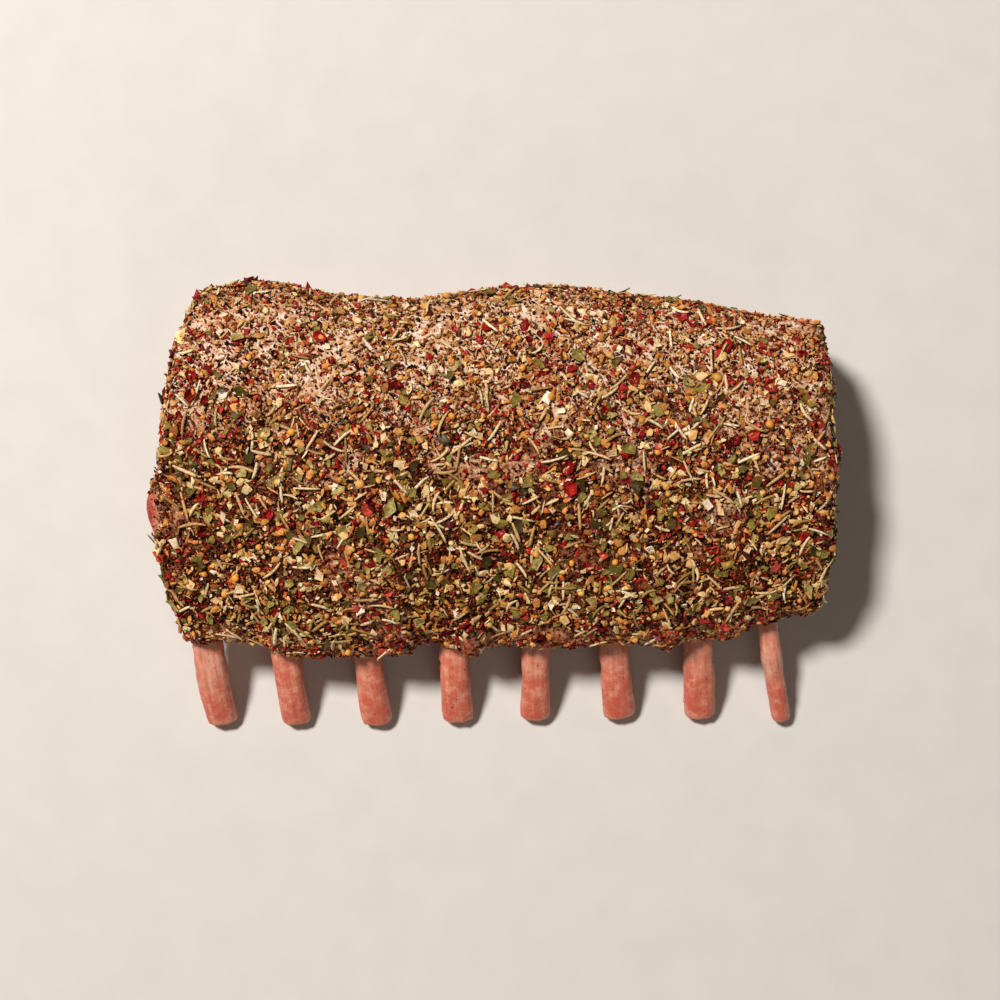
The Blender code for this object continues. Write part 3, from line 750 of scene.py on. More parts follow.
def end_wall(outer, inner):
    """Grid of points over one cut end of the fat, from its outside to the meat."""
    inner = resampled(np.linspace(0, 1, len(outer)), np.linspace(0, 1, len(inner)), inner)
    return between(outer, inner, np.linspace(0, 1, 5)[:, None])


def border(rows, columns):
    """Vertices round the border of a grid, in order."""
    numbers = np.arange(rows * columns).reshape(rows, columns)
    return np.concatenate([
        numbers[0, :-1], numbers[:-1, -1], numbers[-1, :0:-1], numbers[:0:-1, 0]])


# ---- loin
LOIN_RINGS = 131
LIP_STEPS, BED_STEPS, CHINE_STEPS = 8, 34, 18
ARCH_STEPS, RAMP_STEPS, FOOT_STEPS = 47, 6, 7
CAP_ROWS = 26
SOFT_CORNER, CORNER_WINDOW = 0.0026, 24
GROOVE_DEPTH, GROOVE_AT, GROOVE_WIDTH = 0.9 * MM, 0.0078, 0.0022     # beside each rib
SAG = 0.7 * MM                 # of the meat's underside between the ribs
NEARLY = 1e-9


def rib_distance(points):
    """Distance along the rack from the nearest rib's centre line."""
    gaps = [np.abs(points[..., 0] - rib_path(row, points[..., 1])) for row in RIBS]
    return np.min(gaps, axis=0)


def loin_rings():
    """Grids of points over and under the loin, with their shares of the length and section."""
    shares = length_shares(LOIN_RINGS)
    alongs = np.concatenate([
        np.linspace(0.0, FAT_FROM - BED_EDGE, LIP_STEPS),
        np.linspace(FAT_FROM, FAT_TO, BED_STEPS),
        np.linspace(FAT_TO + BED_EDGE, 1.0, CHINE_STEPS)])
    share, along = np.meshgrid(shares, alongs, indexing="ij")
    covered = (along > FAT_FROM - NEARLY) & (along < FAT_TO + NEARLY)
    top = mantle_section(share, along, np.where(covered, fat_thickness(along) + GAP * 0.6, 0.0))
    lift = LIFT * end_inset(shares)[:, None]
    top[:, [0, -1], 1] += lift
    foot = spline(STATIONS, station(shares))[:, 1] - FOOT_REACH
    ramp = foot - FOOT_RAMP
    ramp_shares = np.linspace(0.15, 1.0, RAMP_STEPS)
    arch_y = between(top[:, 0, 0], ramp, np.linspace(0.03, 1.0, ARCH_STEPS))
    ramp_y = between(ramp, foot, ramp_shares)
    foot_y = between(foot, top[:, -1, 0], np.linspace(0.12, 0.97, FOOT_STEPS))
    ramp_z = underside(ramp)[:, None] * (1 - ramp_shares)
    bottom = np.stack([
        np.concatenate([arch_y, ramp_y, foot_y], axis=1),
        np.concatenate([underside(arch_y), ramp_z, 0 * foot_y], axis=1) + lift], axis=-1)
    return shares, along, put(share, top), put(shares[:, None], rounded(bottom))


def rounded(curves, fine=360):
    """The underside's curves with soft corners; as many points, closer together at the foot."""
    softened = np.empty_like(curves)
    share = np.linspace(0, 1, curves.shape[1])
    window = np.arange(-CORNER_WINDOW, CORNER_WINDOW + 1)
    for index, curve in enumerate(curves):
        steps = np.linalg.norm(np.diff(curve, axis=0), axis=1)
        length = np.concatenate([[0.0], np.cumsum(steps)])
        places = np.linspace(0, length[-1], fine)
        dense = resampled(places, length, curve)
        kernel = np.exp(-0.5 * (window * length[-1] / fine / SOFT_CORNER) ** 2)
        padded = np.pad(dense, ((CORNER_WINDOW, CORNER_WINDOW), (0, 0)), mode="edge")
        blurred = np.stack([
            np.convolve(column, kernel / kernel.sum(), "valid") for column in padded.T], axis=-1)
        keep = smooth(0.0, 0.005, np.minimum(places, length[-1] - places))[:, None]
        dense = dense + (blurred - dense) * keep
        softened[index] = resampled(length[-1] * (1 - (1 - share) ** 1.35), places, dense)
    return softened


def loin_cap(top, bottom, direction):
    """Grid of points over a cut end, swelling between the fat cap and the underside."""
    rows = np.linspace(0.0, 1.0, CAP_ROWS)[1:-1]
    cap = between(top, bottom, rows[:, None])
    place = np.linspace(0.0, 1.0, len(top))
    swell = (4 * rows * (1 - rows)) ** 0.4 * (4 * place * (1 - place))[:, None] ** 0.3
    left, right = end_face(cap[..., 1], cap[..., 2])
    flat = left if direction < 0 else right
    relief = ripples(cap, (0.9, 0.016, 4.4), (0.35, 0.005, 8.8))
    reach = smooth(0.0, 0.2, swell)
    cap[..., 0] = cap[..., 0] * (1 - reach) + flat * reach
    cap[..., 0] += direction * swell * (END_BULGE + relief)
    return cap


def dress_underside(bottom):
    """Grooves the arch beside the ribs and lets the meat sag between them."""
    distance, y = rib_distance(bottom), bottom[..., 1]
    open_arch = smooth(-0.062, -0.050, y) * (1 - smooth(0.050, 0.060, y))
    groove = GROOVE_DEPTH * bell(distance - GROOVE_AT, GROOVE_WIDTH)
    relief = groove - SAG * smooth(0.009, 0.016, distance)
    relief = relief + 0.7 * MM * ripple(bottom, 0.012, 6.6)
    bottom[..., 2] += np.maximum(relief, -0.6 * MM) * open_arch


def dress_strips(top, shares, along):
    """Roughens the bare strips beside the fat, but not the floor's edge and the sawn ribs."""
    strips = (along < FAT_FROM - NEARLY) | (along > FAT_TO + NEARLY)
    rise = ripples(top, (0.6, 0.009, 2.9), (0.25, 0.003, 1.1)) * smooth(0.002, 0.010, top[..., 2])
    for row in RIBS:
        sawn = rib_axis(row, rib_end(row))
        rise *= smooth(0.007, 0.012, np.hypot(top[..., 0] - sawn[0], top[..., 2] - sawn[2]))
    into = inward(station(shares)[:, None], along)
    top[..., 1:] -= into * np.where(strips, rise, 0.0)[..., None]


def build_loin():
    shares, along, top, bottom = loin_rings()
    dress_underside(bottom)
    dress_strips(top, shares, along)
    ring = np.concatenate([top, bottom[:, ::-1]], axis=1)
    size, top_count = ring.shape[1], top.shape[1]
    ring_count = LOIN_RINGS * size
    vertices, faces, caps = [ring.reshape(-1, 3)], [grid_faces(LOIN_RINGS, size, wrap=True)], []
    first = ring_count
    for ring_index, direction in ((0, -1), (LOIN_RINGS - 1, 1)):
        cap = loin_cap(top[ring_index], bottom[ring_index], direction)
        numbers = np.arange(cap.shape[0] * cap.shape[1]).reshape(cap.shape[:2]) + first
        upper = ring_index * size + np.arange(top_count)
        lower = ring_index * size + size - 1 - np.arange(top_count)
        table = np.column_stack([upper, numbers, lower])
        corners = [table[:-1, :-1], table[1:, :-1], table[1:, 1:], table[:-1, 1:]]
        faces.append(np.stack(corners, axis=-1).reshape(-1, 4))
        vertices.append(cap.reshape(-1, 3))
        first += numbers.size
        caps.append(np.concatenate([
            top[ring_index][:, None], cap, bottom[ring_index][:, None]], axis=1))
    vertices = np.concatenate(vertices)
    piece = new_piece("loin_meat", vertices, faces, lean_material(), ["loin"])
    outward(piece.data)
    seam, skin = loin_masks(vertices, ring_count, size, top_count)
    add_masks(piece, seam=seam, skin=skin)
    return top, caps


def loin_masks(places, ring_count, size, top_count):
    """Fat seams of the cut ends and strips, and the skin that lines the underside."""
    y = places[:, 1]
    _, across, up = np.transpose(places + 0.004 * ripple(places, 0.02, 3.3)[:, None])
    eye = np.hypot((across - 0.026) / 0.044, (up - 0.047) / 0.0195)
    flap = up - (0.030 + 0.25 * (across + 0.02))
    second = np.hypot((across + 0.030) / 0.020, (up - 0.038) / 0.012)
    seam = bell(eye - 1.0, 0.055)
    seam = np.maximum(seam, 0.9 * bell(flap, 0.0012) * (y < -0.012))
    seam = np.maximum(seam, 0.7 * bell(second - 1.0, 0.09) * (y < -0.01))
    numbers = np.arange(len(places))
    column = numbers % size
    on_ring = numbers < ring_count
    under = on_ring & (column >= top_count)
    skin = np.where(under, smooth(-0.052, -0.044, y) * (1 - smooth(0.050, 0.058, y)), 0.0)
    lip = on_ring & (column < LIP_STEPS)
    chine = on_ring & (column >= LIP_STEPS + BED_STEPS) & (column < top_count)
    seam = np.where(lip, 0.42 + ripple(places, 0.009, 2.0), seam)
    seam = np.where(chine, 0.30 + 0.9 * ripple(places, 0.012, 7.0), seam)
    seam = np.where(under, 0.25 * np.clip(ripple(places, 0.01, 1.0) * 3, 0, 1), seam)
    return np.clip(seam, 0, 1), skin


# ---- ribs
RIB_STATIONS, RIB_SIDES = 64, 32
VISUAL_WIDTH = 0.972           # a round section fills more width than the solid's ten sides
SAWN_PROUD = 0.5               # mm that a sawn rib end stands out of the meat
SAWN_RIM = 0.96                # size of its edge against the rib
TIP_REACH, TIP_TAPER = 0.018, 0.035                      # share of the length, taper
SCRAPS_AT, SCRAPS_REACH = 0.004, 0.008                   # scraps of film near the meat
CAP_RINGS = ((0.92, 0.15), (0.74, 0.10), (0.62, -0.35), (0.36, -0.55))   # size, height in mm
FIRST_RIM, LAST_RIM = len(CAP_RINGS), len(CAP_RINGS) + RIB_STATIONS - 1
RIB_ROWS = RIB_STATIONS + 2 * len(CAP_RINGS)
RIB_FILM = (                   # each rib's pale film at the meat: reach along it, strength
    (0.026, 0.85), (0.010, 0.45), (0.010, 0.45), (0.008, 0.40), (0.013, 0.65), (0.010, 0.55),
    (0.012, 0.65), (0.018, 0.90),
)


def chine_surface(points):
    """How far back the meat's surface lies at the given points, where a rib ends."""
    left, right = end_face(points[:, 1], points[:, 2])
    shares, alongs = np.broadcast_arrays(
        ((points[:, 0] - left) / (right - left))[:, None], np.linspace(1.0, 0.90, 60))
    sections = mantle_section(shares, alongs)
    return np.array([
        np.interp(height, section[:, 1], section[:, 0])
        for height, section in zip(points[:, 2], sections)])


def rib_surface(number, row):
    """Points (station, side) of a dressed rib, its centre line and its stations' y."""
    shares = np.linspace(0.0, 1.0, RIB_STATIONS) ** 1.25
    rings, spokes, y = rib_rings(row, RIB_SIDES, shares)
    centre = rings - spokes
    tip = np.clip(1 - shares / TIP_REACH, 0, 1)
    rim = 1 - TIP_TAPER * tip ** 2
    rim[-1] = SAWN_RIM
    relief = 0.30 * MM * ripple(rings * (1.0, 0.12, 1.0), 0.0034, number)
    relief += 0.40 * MM * ripple(rings, 0.0110, number * 2.0)
    scraps = bell(y - RIB_ENTRY_Y + SCRAPS_AT, SCRAPS_REACH)[:, None]
    relief += scraps * 0.7 * MM * np.clip(ripple(rings, 0.0040, number * 3.0) * 2, -0.2, 1)
    above_floor = smooth(0.0, 0.0016, rings[..., 2])
    points = centre + spokes * (rim * VISUAL_WIDTH)[:, None, None]
    points += unit(spokes) * (relief * above_floor * (1 - 0.7 * tip[:, None]))[..., None]
    points[:2, :, 1] += 0.9 * MM * ripple(points[0], 0.0028, number * 1.7)
    points[-1, :, 1] = chine_surface(points[-1]) + SAWN_PROUD * MM
    return points, centre, y


def rib_cap(ring, behind, hollow, number, sawn):
    """Rings that close one end of a rib: a rim of bone and the marrow inside it."""
    middle = ring.mean(axis=0)
    facing = unit(middle - behind)
    steps = []
    for size, depth in CAP_RINGS:
        step = middle + (ring - middle) * size + facing * depth * hollow * MM
        if sawn:
            step[:, 1] = chine_surface(step) + (SAWN_PROUD + depth * hollow) * MM
        steps.append(step + 0.25 * MM * ripple(step, 0.0015, number)[:, None] * facing)
    return steps


def rib_faces():
    """Faces of a closed tube of RIB_ROWS rings, with a fan to one last vertex at each end."""
    sides = np.arange(RIB_SIDES)
    after = (sides + 1) % RIB_SIDES
    total = RIB_ROWS * RIB_SIDES
    last = total - RIB_SIDES
    return [
        grid_faces(RIB_ROWS, RIB_SIDES, wrap=True),
        np.column_stack([np.full(RIB_SIDES, total), after, sides]),
        np.column_stack([np.full(RIB_SIDES, total + 1), last + sides, last + after])]


def build_ribs():
    material = bone_material()
    surfaces = []
    row_of = np.repeat(np.arange(RIB_ROWS), RIB_SIDES)
    in_cap = np.append((row_of < FIRST_RIM) | (row_of > LAST_RIM), [True, True])
    rim = np.append((row_of == FIRST_RIM) | (row_of == LAST_RIM), [False, False])
    inner = np.append((row_of < 2) | (row_of >= RIB_ROWS - 2), [True, True])
    stations = np.clip(row_of - FIRST_RIM, 0, RIB_STATIONS - 1)
    for number, row in enumerate(RIBS, start=1):
        points, centre, y = rib_surface(number, row)
        tip_cap = rib_cap(points[0], centre[8, 0], 1.0, number, False)
        sawn_cap = rib_cap(points[-1], centre[-8, 0], 0.4, number, True)
        vertices = np.concatenate([*tip_cap[::-1], points.reshape(-1, 3), *sawn_cap])
        vertices[:, 2] = np.maximum(vertices[:, 2], -SHIFT[2] + 0.00002)
        ends = [vertices[:RIB_SIDES].mean(axis=0), vertices[-RIB_SIDES:].mean(axis=0)]
        vertices = np.concatenate([vertices, ends])
        piece = new_piece(
            f"rib_bone_{number}", vertices, rib_faces(), material, [f"rib_{number}"])
        outward(piece.data)
        reach, strength = RIB_FILM[number - 1]
        near = strength * smooth(RIB_ENTRY_Y - reach, RIB_ENTRY_Y - 0.3 * reach,
                                 vertices[:, 1] + 0.010 * ripple(vertices, 0.006, 4.0))
        add_masks(piece, near=near * ~in_cap, cut=in_cap | rim,
                  tipward=1 - smooth(0.0, 0.022, vertices[:, 1] - y[0]), marrow=inner)
        offset = vertices[:-2] - centre[stations, 0]
        offset[:, 1] = y[stations] * 0.075 + number * 0.05
        grain = np.concatenate([offset, offset[:1], offset[-1:]])
        add_attribute(piece, "grain", grain, "FLOAT_VECTOR", "vector")
        surfaces.append(points)
    return surfaces


# ---- shapes of the rub
def plate(rng, corners, curl, thick, jag=0.22, long=1.0):
    """A torn flake, about 1 across: a closed curled plate with an uneven outline."""
    angle = (np.arange(corners) + rng.uniform(-0.3, 0.3, corners)) * 2 * math.pi / corners
    radius = 0.5 * rng.uniform(1 - jag * 1.6, 1 + jag, corners)
    edge = np.column_stack([radius * np.cos(angle) * long, radius * np.sin(angle)])
    inner = edge * rng.uniform(0.45, 0.65, (corners, 1))
    flat = np.concatenate([[[0.0, 0.0]], inner, edge, edge * 0.96, [[0.0, 0.0]]])
    bend, twist, cup = rng.uniform(-curl, curl), rng.uniform(-curl, curl), rng.uniform(-curl, curl)
    high = bend * flat[:, 0] ** 2 * 2 + twist * flat[:, 0] * flat[:, 1] * 2
    high += cup * flat[:, 1] ** 2 * 2
    high[1:1 + corners] += rng.uniform(-0.03, 0.03, corners)
    high[1 + 2 * corners:] -= thick
    ring = np.arange(corners)
    after = (ring + 1) % corners
    top, upper, lower, bottom = 0 * ring, 1, 1 + corners, 1 + 2 * corners
    faces = [(top, upper + ring, upper + after),
             (upper + ring, lower + ring, lower + after),
             (upper + ring, lower + after, upper + after),
             (lower + ring, bottom + ring, bottom + after),
             (lower + ring, bottom + after, lower + after),
             (top + 1 + 3 * corners, bottom + after, bottom + ring)]
    return np.column_stack([flat, high]), np.concatenate([np.column_stack(row) for row in faces])


def stalk(rng, sides, stations, bend, flat=0.6, taper=0.55):
    """A needle or a bit of stem along X, 1 long and 1 wide before it is sized."""
    along = np.linspace(-0.5, 0.5, stations)
    narrow = 1 - (1 - taper) * np.abs(along * 2) ** 2.5
    angle = (np.arange(sides) + 0.5) * 2 * math.pi / sides
    ring = np.column_stack([np.cos(angle) * 0.5, np.sin(angle) * 0.5 * flat])
    sway, lift = rng.uniform(-bend, bend), rng.uniform(-bend, bend) * 0.4
    kink = rng.uniform(-0.25, 0.25)
    points = np.zeros((stations, sides, 3))
    points[..., 0] = along[:, None]
    points[..., 1] = ring[:, 0] * narrow[:, None] + (sway * (along - kink) ** 2)[:, None] * 4
    points[..., 2] = ring[:, 1] * narrow[:, None] + (lift * along ** 2)[:, None] * 4
    points[..., 1:] += rng.uniform(-0.05, 0.05, (stations, sides, 2))
    faces = grid_faces(stations, sides, wrap=True)
    split = np.concatenate([faces[:, [0, 1, 2]], faces[:, [0, 2, 3]]])
    fan = np.array([(0, i + 1, i) for i in range(1, sides - 1)])
    last = (stations - 1) * sides
    return points.reshape(-1, 3), np.concatenate([split, fan, last + fan[:, ::-1]])


def ball(subdivisions):
    """Vertices and triangles of a ball, 1 across."""
    work = bmesh.new()
    bmesh.ops.create_icosphere(work, subdivisions=subdivisions, radius=0.5)
    points = np.array([vertex.co[:] for vertex in work.verts])
    faces = np.array([[vertex.index for vertex in face.verts] for face in work.faces])
    work.free()
    return points, faces


def granule(rng, rough, flat):
    """A chip of dried spice, about 1 long."""
    points, faces = ball(1)
    points = points * rng.uniform(1 - rough, 1 + rough, (len(points), 1))
    points *= (1.0, rng.uniform(0.65, 0.95), flat)
    return points, faces


def crumb(rng):
    """An uneven grain of eight triangles, about 1 long."""
    points = np.array([
        (0.5, 0, 0), (0, 0.5, 0), (-0.5, 0, 0), (0, -0.5, 0), (0, 0, 0.32), (0, 0, -0.32)])
    points = points * rng.uniform(0.6, 1.25, (6, 1)) + rng.uniform(-0.08, 0.08, (6, 3))
    ring = np.arange(4)
    after = (ring + 1) % 4
    upper = np.column_stack([ring, after, np.full(4, 4)])
    lower = np.column_stack([after, ring, np.full(4, 5)])
    return points, np.concatenate([upper, lower])


def bead(rng, dent=0.10):
    """A whole seed, about 1 across."""
    points, faces = ball(2)
    squash = rng.uniform(0.86, 1.0, 3)
    points = points * (1 + dent * rng.uniform(-1, 1, (len(points), 1))) * squash
    return points, faces


# ---- where the rub lies
class Ground:
    """A grid of surface points that the rub can be scattered on."""

    def __init__(self, points, weight=1.0):
        self.low = points[:-1, :-1]
        self.edge_a = points[1:, :-1] - self.low
        self.edge_b = points[:-1, 1:] - self.low
        cross = np.cross(self.edge_a, self.edge_b)
        self.area = np.linalg.norm(cross, axis=-1)
        self.normal = unit(cross)
        self.first = unit(self.edge_a)
        self.centre = self.low + (self.edge_a + self.edge_b) / 2 + SHIFT
        self.weight = weight

    def face_out(self, middle):
        away = np.sum((self.centre - SHIFT - middle) * self.normal, axis=-1)
        self.normal = np.where((away < 0)[..., None], -self.normal, self.normal)
        return self


def spots(grounds, count, density, rng):
    """Evenly drawn spots: points, outward normals and directions along the rack."""
    weights, cells = [], []
    for ground in grounds:
        share = ground.area * ground.weight * density(ground.centre)
        weights.append(share.ravel())
        cells.append(tuple(
            part.reshape(-1, 3)
            for part in (ground.low, ground.edge_a, ground.edge_b, ground.normal, ground.first)))
    low, edge_a, edge_b, normal, first = (np.concatenate(part) for part in zip(*cells))
    total = np.cumsum(np.concatenate(weights))
    aim = (np.arange(count) + rng.uniform(0, 1, count)) / count * total[-1]
    index = np.minimum(np.searchsorted(total, aim), len(total) - 1)
    a, b = rng.uniform(0, 1, (2, count, 1))
    return low[index] + edge_a[index] * a + edge_b[index] * b, normal[index], first[index]


def turned(normal, first, rng, tilt):
    """Rotation matrices: a random heading on the surface, tipped by about tilt degrees."""
    count = len(normal)
    heading = rng.uniform(0, 2 * math.pi, count)[:, None]
    side = np.cross(normal, first)
    x_axis = first * np.cos(heading) + side * np.sin(heading)
    lean = np.radians(tilt) * rng.normal(size=(2, count, 1))
    up = unit(normal + x_axis * lean[0] + np.cross(normal, x_axis) * lean[1])
    x_axis = unit(x_axis - up * np.sum(x_axis * up, axis=-1, keepdims=True))
    return np.stack([x_axis, np.cross(up, x_axis), up], axis=-1)


class Kind:
    """One kind of the rub, gathered as arrays and made into one piece."""

    def __init__(self, name, shapes, colours, seed):
        self.name, self.shapes = name, shapes
        self.colours = np.array([rgb(*colour) for colour in colours])
        self.rng = np.random.default_rng(seed)
        self.parts = []

    def scatter(self, grounds, count, size, lift, tilt, density):
        """Lays bits on the grounds: sizes and lifts in mm, tilts in degrees.

        size is the least and greatest length, then the width and height as shares of it. Where
        two more follow, they are the least and greatest width, and the height is the same.
        """
        rng = self.rng
        places, normal, first = spots(grounds, count, density, rng)
        length = size[0] + (size[1] - size[0]) * rng.uniform(0, 1, count) ** 1.5
        scale = np.column_stack([
            length, length * size[2] * rng.uniform(0.75, 1.25, count),
            length * size[3] * rng.uniform(0.8, 1.2, count)]) * MM
        if len(size) > 4:
            scale[:, 1:] = (rng.uniform(size[4], size[5], count) * MM)[:, None]
        raised = rng.uniform(lift[0], lift[1], count)[:, None] * MM
        places = places + normal * raised
        self.parts.append((places, turned(normal, first, rng, tilt), scale))

    def build(self, material, slot, shaded_smooth):
        rng = self.rng
        places, turns, scales = (np.concatenate(part) for part in zip(*self.parts))
        count = len(places)
        which = rng.integers(0, len(self.shapes), count)
        pick = rng.integers(0, len(self.colours), count)
        colours = self.colours[pick] * rng.uniform(0.80, 1.14, (count, 1))
        colours[:, :3] *= rng.uniform(0.95, 1.05, (count, 3))
        colours[:, 3] = 1.0
        columns = math.ceil(math.sqrt(count))
        vertices, faces, tints, maps, first = [], [], [], [], 0
        for number, (shape, triangles) in enumerate(self.shapes):
            mine = np.flatnonzero(which == number)
            if not len(mine):
                continue
            sized = shape[None] * scales[mine][:, None]
            points = places[mine][:, None] + np.einsum("nij,nvj->nvi", turns[mine], sized)
            vertices.append(points.reshape(-1, 3))
            offsets = first + np.arange(len(mine)) * len(shape)
            faces.append((triangles[None] + offsets[:, None, None]).reshape(-1, 3))
            tints.append(np.repeat(colours[mine], len(shape), axis=0))
            spread = shape / (np.abs(shape).max(axis=0) + 1e-9)
            local = np.column_stack([
                0.5 + 0.27 * spread[:, 0] + 0.13 * spread[:, 2],
                0.5 + 0.27 * spread[:, 1] - 0.11 * spread[:, 2]])
            cell = np.column_stack([mine % columns, mine // columns])
            maps.append(((cell[:, None] + local[None]) / columns).reshape(-1, 2))
            first += len(mine) * len(shape)
        faces = np.concatenate(faces)
        mesh = new_piece(
            self.name, np.concatenate(vertices), [faces], material,
            ["fat_cap", "loin"], shaded_smooth).data
        tint = mesh.color_attributes.new("tint", "FLOAT_COLOR", "POINT")
        tint.data.foreach_set("color", np.concatenate(tints).astype(np.float32).ravel())
        corners = np.concatenate(maps)[faces.ravel()]
        unwrapped = mesh.uv_layers.new(name="OFBake")
        unwrapped.data.foreach_set("uv", corners.astype(np.float32).ravel())
        print(f"{self.name}: {count} of them, {len(faces)} triangles")


def many(shape, count, seed, *options):
    rng = np.random.default_rng(seed)
    return [shape(rng, *options) for _ in range(count)]


# ---- the rub
def lay(front, back, clump=0.0, size=0.018, seed=0.0, low_front=1.0, spared=0.5):
    """Density that changes from front to back, gathers in clumps and spares bare spots."""
    def density(places):
        amount = back + (front - back) * front_share(places)
        amount = amount * (1 - spared * thin_rub(places))
        amount = amount * (1 - (0.4 + 0.5 * spared) * bare_spots(places))
        amount = amount * (1 - 0.97 * bare_lobes(places))
        amount = amount * np.clip(1 + clump * ripple(places, size, seed), 0.05, 3.0)
        return amount * (1 + (low_front - 1) * front_edge(places))
    return density


